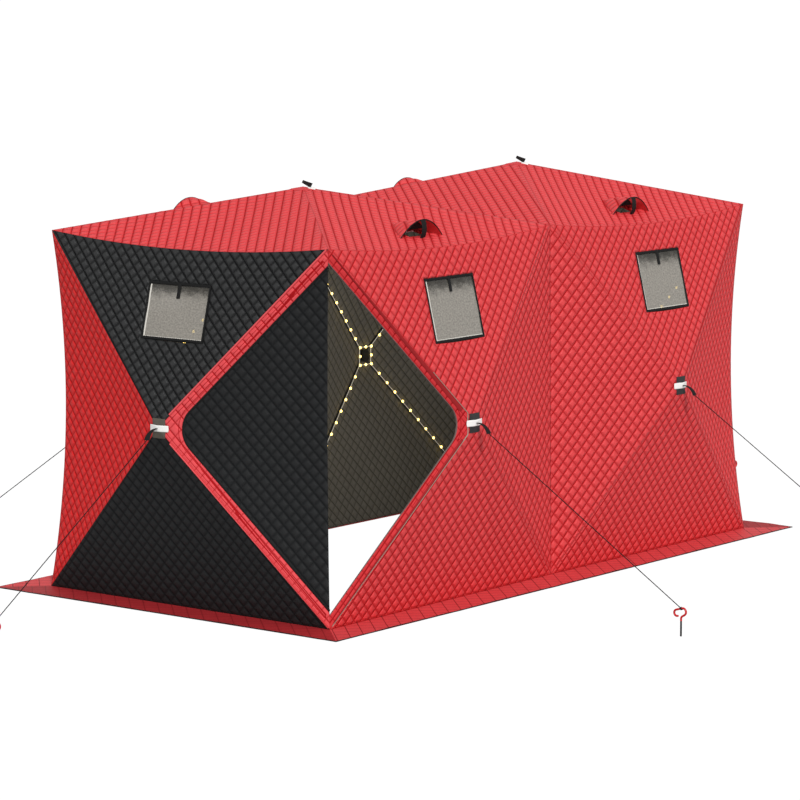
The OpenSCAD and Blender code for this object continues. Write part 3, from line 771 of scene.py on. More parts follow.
def woven(name, cloth_hex, dark_hex, rib_mm, roughness=0.75, stitch_every_mm=None):
    """Cloth with ribs. Stitches, if any, cross the piece's own flat x and y on both diagonals."""
    material, tree, shader = new_material(name)
    place = add(tree, "TexCoord")
    ribs = [add(tree, "TexWave", {
        "Vector": place.outputs["Object"], "Scale": 2 * math.pi / (rib_mm * MM) / 20, "Distortion": 0.6},
        wave_type="BANDS", bands_direction=direction) for direction in ("X", "Y", "Z")]
    height = add(tree, "Math", {0: ribs[0].outputs["Fac"], 1: ribs[1].outputs["Fac"]}, operation="MULTIPLY")
    height = add(tree, "Math", {0: height, 1: ribs[2].outputs["Fac"]}, operation="ADD")
    wear = add(tree, "TexNoise", {"Vector": place.outputs["Object"], "Scale": 6.0, "Detail": 4.0})
    colour = add(tree, "Mix", {0: wear.outputs["Fac"], 6: srgb(cloth_hex), 7: srgb(dark_hex)},
                 data_type="RGBA")
    if stitch_every_mm:
        plane = add(tree, "Attribute", attribute_name="flat")
        parts = add(tree, "SeparateXYZ", {0: plane.outputs["Vector"]})
        beats = []
        for operation in ("ADD", "SUBTRACT"):
            slant = add(tree, "Math", {0: parts.outputs["X"], 1: parts.outputs["Y"]}, operation=operation)
            beats.append(add(tree, "Math", {0: slant, 1: stitch_every_mm * MM / 2},
                             operation="PINGPONG"))
        near = add(tree, "Math", {0: beats[0], 1: beats[1]}, operation="MINIMUM")
        line = add(tree, "MapRange", {
            "Value": near, "From Min": 2.0 * MM, "From Max": 4.0 * MM, "To Min": 1.0, "To Max": 0.0})
        colour = add(tree, "Mix", {0: line, 6: colour.outputs[2], 7: srgb("#7d0a10")},
                     data_type="RGBA")
    bump = add(tree, "Bump", {"Height": height, "Strength": 0.3, "Distance": 0.6 * MM})
    feed(tree, shader, {"Base Color": colour.outputs[2], "Normal": bump, "Roughness": roughness,
                        "Specular IOR Level": WOVEN_SHINE})
    return material


def moulded(name, body_hex, roughness):
    material, tree, shader = new_material(name)
    place = add(tree, "TexCoord")
    grain = add(tree, "TexNoise", {"Vector": place.outputs["Object"], "Scale": 1 / (GRAIN_MM * MM),
                                             "Detail": 2.0})
    rough = add(tree, "MapRange", {"Value": grain.outputs["Fac"], "To Min": roughness - GRAIN_SHARE,
                                             "To Max": roughness + GRAIN_SHARE})
    bump = add(tree, "Bump", {"Height": grain.outputs["Fac"], "Strength": 0.1, "Distance": 0.3 * MM})
    feed(tree, shader, {"Base Color": srgb(body_hex), "Normal": bump, "Roughness": rough})
    return material


# Black webbing: nylon woven in ribs, a dull black edge round everything that is sewn on
webbing = woven("black nylon webbing, woven", "#111111", "#0b0b0b", 3.0)
# Light piping: pale cord in a sleeve, the thin bright line beside the front opening
piping_cloth = woven("pale grey piping, woven", "#a3a496", "#8f9184", 3.0)
# The zip's open tape on the front: a thin grey-red line against the dark inside
tape_cloth = woven("grey-red zip tape, woven", "#86706c", "#6f5c59", 3.0)
# Binding: a red tape over the edge of the end band, painted as bright as the lit end band
binding_cloth = woven("red binding tape, woven", "#e65a5e", "#dc4f53", 3.0)
# Painted shade: a dark red strip on the front band near the hub, where the band is in shadow
shade_strip_cloth = woven("red strip, painted shade", "#9c1a1e", "#8f1519", 4.0)
# Patch cloth: coated cloth under each hub's plate, brown-grey on the ends and black on the long walls
patch_cloth = woven("brown-grey patch cloth, coated", "#6a6257", "#433e37", 8.0, 0.6)
long_patch_cloth = woven("black patch cloth, coated", "#383838", "#262626", 8.0, 0.6)
# Skirt cloth: thin coated red cloth, sewn across in wide diamonds
SKIRT_STITCH_MM = 94.0
skirt_cloth = woven("red coated skirt cloth, woven", "#d8464a", "#cf3e42", 4.0, 0.6, SKIRT_STITCH_MM)
# Painted shade: the end skirts are the same skirt cloth in a deeper red, as they show darker
shaded_end_skirt_cloth = woven("red coated skirt cloth, woven, painted shade", "#a8262b", "#9c2025", 4.0, 0.6, SKIRT_STITCH_MM)
# Roof patches: the same red cloth without stitches, so that the roof's top stays red
roof_patch_cloth = woven("red patch cloth, coated", "#cf4044", "#c6393d", 4.0, 0.6)
# Rope: black braided cord
rope_cord = woven("black braided cord", "#191919", "#101010", 3.0, 0.8)
# White plates: moulded, slightly satin, the brightest small thing on the walls
white_plastic = moulded("white moulded plastic", "#efeeea", 0.4)
hub_plastic = moulded("black moulded plastic", "#1b1b1b", 0.5)
# Poles: drawn fibreglass rods with a satin black coat
pole_coat = moulded("black coated fibreglass, drawn", "#262626", 0.45)
hook_plastic = moulded("red moulded sleeve", "#c4000f", 0.35)
stake_steel = moulded("black oxide steel, drawn", "#121213", 0.5)
# Clear insulation over bright wire. It shows pale on the lining, lit by the lamps beside it, so a little
# painted glow stands in for that light.
WIRE_GLOW = 0.2
wire_plastic = moulded("clear insulated wire, extruded", "#dcd8cc", 0.5)
feed(wire_plastic.node_tree, wire_plastic.node_tree.nodes["Principled BSDF"], {
    "Emission Color": srgb("#fff6e4"), "Emission Strength": WIRE_GLOW})
print("materials:", len(bpy.data.materials))

# %% [markdown]
# ## Strips and sweeps
#
# Small pieces are made of three forms. A rail is a strip that follows the cloth along a flat path. A
# swept bar carries a profile along a path in space. A shell closes two grids of points into one sheet.
# Each returns points and faces, and one function joins them to a piece with outward normals.

# %% Builders for small pieces
def tube_faces(stations, around, closed=False):
    i = np.arange(stations if closed else stations - 1)[:, None]
    j = np.arange(around)[None]
    ahead, beside = (i + 1) % stations, (j + 1) % around
    quads = np.stack(np.broadcast_arrays(i * around + j, i * around + beside, ahead * around + beside,
                                         ahead * around + j), -1).reshape(-1, 4).tolist()
    if not closed:
        quads += [list(range(around)), list(range((stations - 1) * around, stations * around))]
    return quads


def unit(vectors):
    return vectors / np.linalg.norm(vectors, axis=-1, keepdims=True)


def rail(place, path, wide, bottom, top, closed=False, material=0):
    """A strip along a flat path. Place lays flat points at an inset; wide may vary along the path."""
    path = np.asarray(path, float)
    wide = np.broadcast_to(wide, len(path))[:, None]
    if closed:
        step = unit(np.roll(path, -1, 0) - path)
        ahead = unit(step + np.roll(step, 1, 0))
        mitre = 1 / np.clip((ahead * step).sum(1, keepdims=True), 0.5, 1)
    else:
        ahead, mitre = unit(np.gradient(path, axis=0)), 1.0
    aside = np.stack([-ahead[:, 1], ahead[:, 0]], 1) * mitre
    shoulder = bottom + 0.65 * (top - bottom)
    profile = ((-0.5, bottom), (-0.5, shoulder), (-0.32, top), (0.32, top), (0.5, shoulder), (0.5, bottom))
    rings = np.stack([place(path + aside * wide * share, inset) for share, inset in profile], 1)
    return rings.reshape(-1, 3), tube_faces(len(path), len(profile), closed), material, None


def swept(path, side, profile, material=0):
    """A profile, (m, 2) or one for each station, carried along a path. Side is the profile's first axis."""
    path = np.asarray(path, float)
    side = np.broadcast_to(side, path.shape)
    lift = unit(np.cross(np.gradient(path, axis=0), side))
    profile = np.broadcast_to(profile, (len(path), *np.shape(profile)[-2:]))
    points = path[:, None] + side[:, None] * profile[..., :1] + lift[:, None] * profile[..., 1:]
    return points.reshape(-1, 3), tube_faces(*points.shape[:2]), material, None


def ring(radius, around=12):
    turns = np.arange(around) * 2 * np.pi / around
    return radius * np.stack([np.cos(turns), np.sin(turns)], 1)


def strip(wide, thick):
    """Profile of webbing with softened edges."""
    a, b, c = wide / 2, thick / 2, min(wide, thick) * 0.3
    return np.array([(-a, -b + c), (-a + c, -b), (a - c, -b), (a, -b + c),
                     (a, b - c), (a - c, b), (-a + c, b), (-a, b - c)])


def shell(upper, lower, materials=(0, 0, 0), flat=None):
    """A closed sheet between two grids (n, m, 3). Its materials: upper side, lower side and rim."""
    n, m, _ = upper.shape
    index = np.arange(n * m).reshape(n, m)
    quads = np.stack([index[:-1, :-1], index[1:, :-1], index[1:, 1:], index[:-1, 1:]], -1).reshape(-1, 4)
    edge = np.concatenate([index[:, 0], index[-1, 1:], index[-2::-1, -1], index[0, -2:0:-1]])
    after = np.roll(edge, -1)
    rim = np.stack([edge, after, after + n * m, edge + n * m], 1)
    faces = np.vstack([quads, (quads + n * m)[:, ::-1], rim]).tolist()
    slots = [materials[0]] * len(quads) + [materials[1]] * len(quads) + [materials[2]] * len(rim)
    points = np.vstack([upper.reshape(-1, 3), lower.reshape(-1, 3)])
    return points, faces, slots, None if flat is None else np.tile(flat.reshape(-1, 3), (2, 1))


def join(name, parts, materials, slot, *nodes, quilts=None):
    points, faces, slots, flats, start = [], [], [], [], 0
    for part_points, part_faces, material, flat in parts:
        points.append(part_points)
        faces += [[n + start for n in loop] for loop in part_faces]
        slots += material if isinstance(material, list) else [material] * len(part_faces)
        flats.append(np.zeros_like(part_points) if flat is None else flat)
        start += len(part_points)
    mesh = bpy.data.meshes.new(name)
    mesh.from_pydata(np.vstack(points).tolist(), [], faces)
    mesh.polygons.foreach_set("material_index", slots)
    bm = bmesh.new()
    bm.from_mesh(mesh)
    bmesh.ops.recalc_face_normals(bm, faces=bm.faces[:])
    bm.to_mesh(mesh)
    bm.free()
    set_point_values(mesh, "flat", np.vstack(flats))
    if quilts is not None:
        set_point_values(mesh, "quilt", quilts)
    mesh.shade_smooth()
    mesh.set_sharp_from_angle(angle=math.radians(45))
    piece = new_piece(name, mesh, materials)
    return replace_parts(piece, *nodes) if nodes else piece


def laid_on(face, seam):
    return lambda flat, inset: on_cloth(face, seam, flat, inset)


def seen_on(face, seam):
    return lambda seen, inset: on_cloth(face, seam, flat_of(face, seam, seen), inset)


print("a webbing profile has", len(strip(0.025, 0.003)), "points")

# %% [markdown]
# ## Zip and piping
#
# A black zip tape covers the joint between the end band and the flap, and its teeth are a narrow rail
# whose width steps in and out. On the front, the open side of the zip leaves a thin line along the
# opening. A pale piping starts a little above the hub, passes its patch on the door's side and runs
# down to the lower corner. A dark red strip of painted shade narrows the front band along each pole
# line, where the band is in shadow, and a bright binding edges the end band.

# %% Zip, opening edge and piping
ZIP_STEP, ZIP_WIDE = 8 * MM, 13 * MM
TRIM_STEP = 15 * MM
# The piping passes the hub at this distance and ends at this share of the way up
PIPING_TURN, PIPING_TOP = 0.052, 0.30
# Widths of the painted shade strips at the hub and at the corner, upper and lower, and of the bindings
SHADE_STRIP_WIDTHS = ((26 * MM, 5 * MM), (15 * MM, 5 * MM))
BINDING_WIDTHS = (7 * MM, 11 * MM)


def resampled(path, step):
    path = np.asarray(path, float)
    run = np.concatenate([[0], np.cumsum(np.linalg.norm(np.diff(path, axis=0), axis=1))])
    at = np.linspace(0, run[-1], int(run[-1] / step) + 1)
    return np.stack([np.interp(at, run, path[:, k]) for k in range(2)], 1)


def aside_of(corner, towards):
    """Direction square to the way from the hub to a corner, on the side of another point."""
    inward = np.array([-corner[1], corner[0]]) / np.linalg.norm(corner)
    return inward if inward @ towards > 0 else -inward


end_edge = resampled(doorway_path(NEAR_END, END_DOOR, inside=ZIP_WIDE / 2), ZIP_STEP)
front_edge = resampled(doorway_path(FRONT_1, FRONT_DOOR), ZIP_STEP)
teeth = np.where(np.arange(len(end_edge)) % 2, 5.0, 3.0) * MM
on_end, on_front = laid_on(NEAR_END, END_DOOR), laid_on(FRONT_1, FRONT_DOOR)
zip_parts = [rail(on_end, end_edge, ZIP_WIDE, 3 * MM, -1.5 * MM), rail(on_end, end_edge, teeth, 0, -3 * MM)]
join("door_zip", zip_parts, [webbing], "black_webbing")

front_parts = [rail(on_front, front_edge, 2.5 * MM, CLOTH + 1 * MM, -1.5 * MM)]
low, high = flat_corners(FRONT_1, FRONT_DOOR)
shares = [PIPING_TURN / abs(corner[0]) for corner in (low, high)]
beside = resampled([low * 0.985, low * shares[0], high * shares[1], high * PIPING_TOP], TRIM_STEP)
front_parts.append(rail(on_front, beside, 3 * MM, 2 * MM, -3 * MM, material=1))
# Painted shade: a dark red strip along each pole line of the front band, where it lies in shadow near the hub
for corner, widths in zip((high, low), SHADE_STRIP_WIDTHS):
    wide = np.linspace(*widths, 40)
    inward = aside_of(corner, high + low)
    shade_strip = corner * np.linspace(0.09, 0.97, 40)[:, None] + inward * (wide / 2 + 2 * MM)[:, None]
    front_parts.append(rail(on_front, shade_strip, wide, 1 * MM, -4.5 * MM, material=2))
join("door_opening_trim", front_parts, [tape_cloth, piping_cloth, shade_strip_cloth], "patch_cloth")
binding_parts = []
for seam, wide in zip(cross_seams(NEAR_END), BINDING_WIDTHS):
    corner, other = flat_corners(NEAR_END, seam)
    inward = aside_of(corner, other)
    edge = resampled([corner * share + inward * wide / 2 for share in (0.075, 0.99)], TRIM_STEP)
    binding_parts.append(rail(laid_on(NEAR_END, seam), edge, wide, 2 * MM, -5 * MM))
join("door_band_binding", binding_parts, [binding_cloth], "red_quilt")
print("zip stations:", len(end_edge), "front stations:", len(front_edge))

# %% [markdown]
# ## Windows
#
# Each window is a pane of clear film sewn in behind a narrow black border. The border is bound with a
# zigzag along its top and bottom, so its width steps there. A short strap hangs from the top. The film
# is see-through and a little frosted, and in the photograph it shows darker near the top.

# %% Windows
STRAP_WIDE, STRAP_LONG = 0.020, 0.062
TOOTH = 6 * MM
FILM_ROUGHNESS, FILM_ALPHA = 0.25, 0.72
# Where the bright edge begins, as a share of the pane's size from its middle
FILM_EDGE = -0.462


def clear_film():
    material, tree, shader = new_material("clear frosted film, calendered")
    plane = add(tree, "Attribute", attribute_name="flat")
    parts = add(tree, "SeparateXYZ", {0: plane.outputs["Vector"]})
    cloud = add(tree, "TexNoise", {"Vector": plane.outputs["Vector"], "Scale": 7.0, "Detail": 8.0,
                                             "Roughness": 0.75})
    height = add(tree, "Math", {0: cloud.outputs["Fac"], 1: 0.45, 2: parts.outputs["Y"]},
                 operation="MULTIPLY_ADD")
    shade = add(tree, "MapRange", {"Value": height, "From Min": 0.44, "From Max": 0.68},
                interpolation_type="SMOOTHSTEP")
    colour = add(tree, "Mix", {0: shade, 6: srgb("#a09b92"), 7: srgb("#3f3c36")},
                 data_type="RGBA")
    # The frosting is a fine grain, drawn at 12 mm so that the render can show it
    grain = add(tree, "TexNoise", {"Vector": plane.outputs["Vector"], "Scale": 34.0, "Detail": 3.0})
    tone = add(tree, "MapRange", {"Value": grain.outputs["Fac"], "From Min": 0.3, "From Max": 0.7,
                                            "To Min": 0.72, "To Max": 1.2})
    colour = add(tree, "Mix", {0: 1.0, 6: colour.outputs[2], 7: tone}, data_type="RGBA",
                 blend_type="MULTIPLY")
    # In the photograph a bright line runs along the film's left and lower edge
    side = add(tree, "Math", {0: parts.outputs["X"], 1: parts.outputs["Y"]}, operation="MINIMUM")
    edge = add(tree, "Math", {0: side, 1: FILM_EDGE}, operation="LESS_THAN")
    colour = add(tree, "Mix", {0: edge, 6: colour.outputs[2], 7: srgb("#f2eee4")},
                 data_type="RGBA")
    feed(tree, shader, {"Base Color": colour.outputs[2], "Roughness": FILM_ROUGHNESS, "Alpha": FILM_ALPHA})
    return material


# Clear film: pale grey, half see-through, so the dark inside and the lights show behind it
film = clear_film()
pane_parts, border_parts, strap_parts = [], [], []
for face in WALL_NAMES:
    seam = cross_seams(face)[1]
    place = seen_on(face, seam)
    tall = WINDOW_TALL[face[0]]
    a, b = np.meshgrid(np.linspace(-0.5, 0.5, 15), np.linspace(-0.5, 0.5, 13), indexing="ij")
    seen = np.stack([a * (WINDOW_WIDE - BORDER), WINDOW_RISE + b * (tall - BORDER)], -1).reshape(-1, 2)
    wave = 0.6 * MM * (np.sin(9 * a + 3 * b) + np.sin(11 * b - 2 * a)).ravel()
    flat = np.stack([a, b, 0 * a], -1)
    grids = [place(seen, inset + wave).reshape(*a.shape, 3) for inset in (2.2 * MM, 3.4 * MM)]
    pane_parts.append(shell(*grids, flat=flat))
    corners = rectangle(0, WINDOW_RISE, WINDOW_WIDE - BORDER, tall - BORDER)
    loop, wide = [], []
    for n in range(4):
        start, end = corners[n], corners[(n + 1) % 4]
        steps = 2 * int(np.linalg.norm(end - start) / TOOTH / 2)
        loop += [start + (end - start) * k / steps for k in range(steps)]
        wide += [BORDER * (1.5 if n % 2 == 0 and k % 2 else 1.0) for k in range(steps)]
    border_parts.append(rail(place, loop, np.array(wide), CLOTH + 1 * MM, -2.0 * MM, closed=True))
    top = WINDOW_RISE + tall / 2
    hang = np.stack([np.zeros(8), np.linspace(top, top - BORDER - STRAP_LONG, 8)], 1)
    strap_parts.append(rail(place, hang, STRAP_WIDE, 2.0 * MM, -2.5 * MM))
panes = join("window_panes_film", pane_parts, [film], "clear_film", "window_panes")
borders = join("window_borders_webbing", border_parts, [webbing], "black_webbing", "window_borders")
straps = join("window_straps_webbing", strap_parts, [webbing], "black_webbing", "window_straps")
print("window faces:", len(panes.data.polygons), len(borders.data.polygons), len(straps.data.polygons))

# %% [markdown]
# ## Roof vents
#
# A vent is a small quilted hood over a hole near the eave. Its mouth is held open by a bowed strip of
# webbing from the roof to its edge. A dark insect screen stands inside. The hood is a cone from a
# parabola to a point up the roof.

# %% Vents
VENT_WIDE, VENT_TALL, VENT_LONG, HOOD_THICK = 0.340, 0.088, 0.195, 0.004
VENT_BACK = math.tan(math.radians(9))
SCREEN_AT = VENT_LONG * 0.34
PROP_BOW, PROP_WIDE, WEBBING_WIDE, WEBBING_THICK, PROP_FOOT = 0.016, 0.036, 0.025, 0.003, 0.012
ROOF_RUN = HALF_WIDTH - EAVE_LEAN - SEAM_IN / 2


def on_vent(face, side, local):
    """Points in a vent's own frame (across, up the roof, out of it) in their place."""
    rise = ROOF_RISES[face[1]]
    slope = math.atan((rise + (BACK_SAG if side > 0 else EAVE_SAG)) / ROOF_RUN)
    c, s = math.cos(slope), math.sin(slope)
    axes = np.array([[-side, 0, 0], [0, -side * c, s], [0, side * s, c]])
    height = EAVE + rise - VENT_Y * math.tan(slope)
    return np.array([face[1] * BAY / 2, side * VENT_Y, height]) + np.asarray(local, float) @ axes


def hood_grid(wide, tall, puffed):
    u, r = np.meshgrid(np.linspace(-1.06, 1.06, 37), np.linspace(0, 0.97, 22), indexing="ij")
    height = tall * (1 - u * u) * (1 - r)
    local = np.stack([u * wide / 2 * (1 - r), VENT_LONG * r + VENT_BACK * height, height], -1).reshape(-1, 3)
    to_edge = np.minimum(local[:, 1], (1.0 - np.abs(u.ravel())) * wide / 2)
    lattice = lattice_of(local[:, :2])
    lift = puff(lattice) * np.clip(to_edge / SEAM_FADE, 0, 1) * puffed
    bow = 6 * MM * np.sin(np.pi * r).ravel() * np.clip(1 - u.ravel() ** 2, 0, 1)
    local[:, 2] += lift + bow
    quilt = np.column_stack([lattice, np.maximum(to_edge, 0) / MM])
    return local.reshape(*u.shape, 3), quilt


def vent_axis(face, side, axis):
    return on_vent(face, side, axis) - on_vent(face, side, (0, 0, 0))


hood_parts, prop_parts, hood_quilts = [], [], []
bowed = np.linspace(0, 1, 13)
for face in ROOFS:
    for side in (-1, 1):
        upper, quilt = hood_grid(VENT_WIDE, VENT_TALL, 3 * MM)
        lower, _ = hood_grid(VENT_WIDE - 2 * HOOD_THICK, VENT_TALL - HOOD_THICK, 0.0)
        placed = [on_vent(face, side, grid) for grid in (upper, lower)]
        hood = shell(*placed, materials=(0, 1, 2), flat=upper * (1, 1, 0))
        mouth = upper[1:-1, 0]
        hem = swept(on_vent(face, side, mouth), vent_axis(face, side, (0, 1, 0)), ring(2.0 * MM, 10), 2)
        arch = lower[4:-4, 7][:, (0, 2)]
        depth = on_vent(face, side, [(0, SCREEN_AT, 0), (0, SCREEN_AT + 2 * MM, 0)])
        screen = swept(depth, vent_axis(face, side, (1, 0, 0)), arch * (1, -1), 2)
        hood_parts += [hood, hem, screen]
        hood_quilts += [quilt, quilt, np.full((len(hem[0]) + len(screen[0]), 3), 0.5)]
        out = HOOD_THICK - WEBBING_THICK - PROP_BOW * 4 * bowed * (1 - bowed)
        up = -PROP_FOOT + (VENT_TALL + PROP_FOOT) * bowed
        line = np.stack([0 * bowed, out + VENT_BACK * up, up], 1)
        prop_parts.append(swept(on_vent(face, side, line), (1, 0, 0), strip(PROP_WIDE, WEBBING_THICK)))
hood_cloths = [red_quilt, roof_patch_cloth, webbing]
hoods = join("vent_hoods_quilt", hood_parts, hood_cloths, "red_quilt", "vent_hoods",
             quilts=np.vstack(hood_quilts))
props = join("vent_props_webbing", prop_parts, [webbing], "black_webbing", "vent_props")
print("vent faces:", len(hoods.data.polygons), len(props.data.polygons))

# %% [markdown]
# ## Hub trim
#
# Outside each hub there is a dark patch, a white plate that spreads the pull, and a black strap. A
# wall's strap curls out and down to the rope. A roof's strap is a short tab to pull the hub up by.

# %% Patches, plates and straps
PATCH, ROOF_PATCH, PATCH_THICK = (0.084, 0.098), (0.100, 0.100), 0.0025
PLATE, ROOF_PLATE, PLATE_THICK = (0.122, 0.031), (0.038, 0.031), 0.004
STRAP_RUN, STRAP_BOW = 0.085, 0.014
TAB_RUN, TAB_OUT, TAB_TILT, TAB_TURN = 0.050, 0.042, math.radians(25), math.radians(52)
PLATE_OUT = PATCH_THICK + PLATE_THICK


def pad(face, size, bottom, top, roundness, material=0, aside=0.0, turn=0.0):
    a, b = np.meshgrid(np.linspace(-1, 1, 13), np.linspace(-1, 1, 13), indexing="ij")
    flat = np.stack([a * np.sqrt(1 - roundness * b * b / 2) * size[0] / 2,
                     b * np.sqrt(1 - roundness * a * a / 2) * size[1] / 2], -1).reshape(-1, 2)
    flat = turned(flat + (aside, 0), turn)
    rim = (np.maximum(np.abs(a), np.abs(b)).ravel() > 0.99) * 0.5
    upper = on_hub(face, flat, -(top + (bottom - top) * rim)).reshape(*a.shape, 3)
    lower = on_hub(face, flat, -bottom).reshape(*a.shape, 3)
    return shell(upper, lower, (material,) * 3)


REACHES = {"end": 1.115, "long": 1.190}
HOOK_HEIGHT = 0.1311
HOOK_ROD = 0.010


def guy_line(face):
    """Start at the plate, end at the middle of the hook's bar, and the direction between them."""
    hub, _, up, out = face_frame(face)
    start = hub + out * PLATE_OUT
    end = hub + out * REACHES[face[0]] + up * (HOOK_HEIGHT - HUB_HEIGHT)
    return start, end, unit(end - start)


patch_parts, plate_parts, pull_parts = [], [], []
curl = np.linspace(0, 1, 17)[:, None]
for face in [*WALL_NAMES, *ROOFS]:
    is_roof = face[0] == "roof"
    material = {"end": 0, "roof": 1, "long": 2}[face[0]]
    patch_parts.append(pad(face, ROOF_PATCH if is_roof else PATCH, -0.5 * MM, PATCH_THICK, 0.15, material))
    hub, across, up, out = face_frame(face)
    if is_roof:
        plate_parts.append(pad(face, ROOF_PLATE, PATCH_THICK, PLATE_OUT, 0.12, aside=TAB_OUT, turn=-TAB_TURN))
        foot = on_hub(face, turned(np.array([[TAB_OUT, 0]]), -TAB_TURN), -PLATE_OUT)
        ahead = np.array([-math.cos(TAB_TURN), math.sin(TAB_TURN), 0])
        along = math.cos(TAB_TILT) * ahead + math.sin(TAB_TILT) * out
        width = math.cos(TAB_TILT) * out - math.sin(TAB_TILT) * ahead
        aside = np.cross(out, ahead) * 6 * MM * np.sin(np.pi * curl)
        path = foot + out * WEBBING_WIDE / 3 + along * TAB_RUN * curl + aside
        narrow = np.linspace(1, 0.6, len(curl))[:, None, None] * np.array([1, 0]) + np.array([0, 1])
        pull_parts.append(swept(path, width, strip(WEBBING_WIDE, WEBBING_THICK) * narrow))
    else:
        plate_parts.append(pad(face, PLATE, PATCH_THICK, PLATE_OUT, 0.12))
        start, _, along = guy_line(face)
        rise = np.cross(along, across)
        rise = rise if rise[2] > 0 else -rise
        path = start + along * STRAP_RUN * curl + rise * STRAP_BOW * 4 * curl * (1 - curl)
        wider = np.linspace(0.5, 1.4, len(curl))[:, None, None] * np.array([1, 0]) + np.array([0, 1])
        pull_parts.append(swept(path, across, strip(WEBBING_WIDE, WEBBING_THICK) * wider))
patch_cloths = [patch_cloth, roof_patch_cloth, long_patch_cloth]
patches = join("hub_patches_cloth", patch_parts, patch_cloths, "patch_cloth", "hub_patches")
plates = join("hub_plates_moulded", plate_parts, [white_plastic], "white_plastic", "hub_plates")
pulls = join("pull_straps_webbing", pull_parts, [webbing], "black_webbing", "pull_straps")
print("hub trim faces:", len(patches.data.polygons), len(plates.data.polygons), len(pulls.data.polygons))

# %% [markdown]
# ## Ropes and stakes
#
# Each rope runs taut from its strap to a stake. It is three-stranded: a profile with three lobes turns
# as it is swept. A few turns round the hook's bar make the hitch. The hook is one rod bent in a
# plane, drawn like a turtle: go straight, or turn on a radius. Its end is rounded off.

# %% Ropes and hooks
ROPE_RADIUS, ROPE_TWIST, SHAFT, HITCH_TURNS = 0.0025, 0.030, 0.072, 2
HOOK_RUNS = ((0.011, 0), (0.014, -60), (0.013, 0), (0.017, 167), (0.034, 0), (0.015, 183))
# Two stations, counted from the hook's end, on the straight bar that the rope is hitched to
HOOK_BAR = (-24, -22)


def bent_path(runs):
    """Points of a bent rod that starts upwards at (0, 0). A run is (length, 0) or (radius, degrees)."""
    points, heading = [np.zeros(2)], math.pi / 2
    for size, turn in runs:
        steps = 3 if turn == 0 else max(4, int(abs(turn) / 10))
        swing = math.radians(turn) / steps
        length = size / steps if turn == 0 else 2 * size * math.sin(abs(swing) / 2)
        for _ in range(steps):
            heading += swing / 2
            points.append(points[-1] + length * np.array([math.cos(heading), math.sin(heading)]))
            heading += swing / 2
    return np.array(points)


hook_flat = bent_path(HOOK_RUNS)
tip = unit(hook_flat[-1] - hook_flat[-2])
hook_flat = np.vstack([hook_flat, hook_flat[-1] + tip * 3 * MM, hook_flat[-1] + tip * 5 * MM])
taper = np.ones(len(hook_flat))
taper[-2:] = 0.8, 0.3
rope_parts, hook_parts = [], []
for face in WALL_NAMES:
    start, end, along = guy_line(face)
    hub, across, up, out = face_frame(face)
    first = start + along * STRAP_RUN
    run = np.linalg.norm(end - first) - HOOK_ROD / 2
    at = np.linspace(0, run, int(run / (8 * MM)))
    turns = (np.arange(12) * 2 * np.pi / 12)[None]
    radius = ROPE_RADIUS * (1 + 0.14 * np.cos(3 * turns))
    twist = turns + (at / ROPE_TWIST * 2 * np.pi)[:, None]
    profile = np.stack([radius * np.cos(twist), radius * np.sin(twist)], -1)
    rope_parts.append(swept(first + along * at[:, None], across, profile))
    base = hub - up * HUB_HEIGHT + up * SHAFT + out * REACHES[face[0]]
    hook = base + hook_flat[:, :1] * out + hook_flat[:, 1:] * up
    hook_parts.append(swept(hook, across, ring(HOOK_ROD / 2, 12)[None] * taper[:, None, None]))
    bar = unit(hook[HOOK_BAR[1]] - hook[HOOK_BAR[0]])
    spin = np.linspace(0, HITCH_TURNS * 2 * np.pi, 40)[:, None]
    round_bar = np.cos(spin) * across + np.sin(spin) * np.cross(bar, across)
    coil = end + round_bar * (HOOK_ROD / 2 + ROPE_RADIUS / 2)
    coil = coil + bar * (spin / (2 * np.pi) - HITCH_TURNS / 2) * 2 * ROPE_RADIUS
    rope_parts.append(swept(coil, bar, ring(ROPE_RADIUS * 0.8, 8)))
ropes = join("guy_ropes_cord", rope_parts, [rope_cord], "rope", "guy_ropes")
hooks = join("stake_hooks_moulded", hook_parts, [hook_plastic], "hook_plastic", "stake_hooks")
print("rope faces:", len(ropes.data.polygons), "hook faces:", len(hooks.data.polygons))

# %% [markdown]
# ## Skirt
#
# Four strips of coated cloth lie on the ice all round, mitred at the corners. They are weighed down
# with snow in use, so here they lie nearly flat with soft ripples that grow towards the outer hem.

# %% Skirts
SKIRT_WIDE = 0.191
UNDER = SEAM_IN + CLOTH
SKIRTS = {"front_skirt": (BAY, HALF_WIDTH, 0), "back_skirt": (BAY, HALF_WIDTH, 180),
          "near_end_skirt": (HALF_WIDTH, BAY, -90), "far_end_skirt": (HALF_WIDTH, BAY, 90)}
for name, (half_run, half_across, angle) in SKIRTS.items():
    t, w = np.meshgrid(np.linspace(-1, 1, int(half_run * 80)), np.linspace(0, 1, 12), indexing="ij")
    offset = -UNDER + w * (UNDER + SKIRT_WIDE)
    x, y = t * (half_run + offset), -(half_across + offset)
    ripple = np.sin(7.3 * x + angle) + 0.7 * np.sin(17.1 * x + 9 * w + angle) + 0.4 * np.sin(31 * x - 6 * w)
    rise = SKIRT_THICK + 2.2 * MM * w * (1 + ripple / 2) * np.clip((1.0 - np.abs(t)) * 8, 0, 1)
    c, s = math.cos(math.radians(angle)), math.sin(math.radians(angle))
    upper = np.stack([c * x - s * y, s * x + c * y, rise], -1)
    lower = upper * (1, 1, 0) + np.array([0, 0, 0.3 * MM])
    edge = upper[:, -1] * (1, 1, 0.6)
    hem = swept(edge, (0, 0, 1), ring(2.5 * MM, 8) * (1.0, 1.6), 1)
    skirt = join(name + "_cloth", [shell(upper, lower, flat=np.stack([x, offset, 0 * x], -1)), hem],
                 [shaded_end_skirt_cloth if "end" in name else skirt_cloth, webbing], "skirt_cloth", name)
    long, wide = 2 * (half_run + SKIRT_WIDE), SKIRT_WIDE + UNDER
print("skirts:", len(SKIRTS))

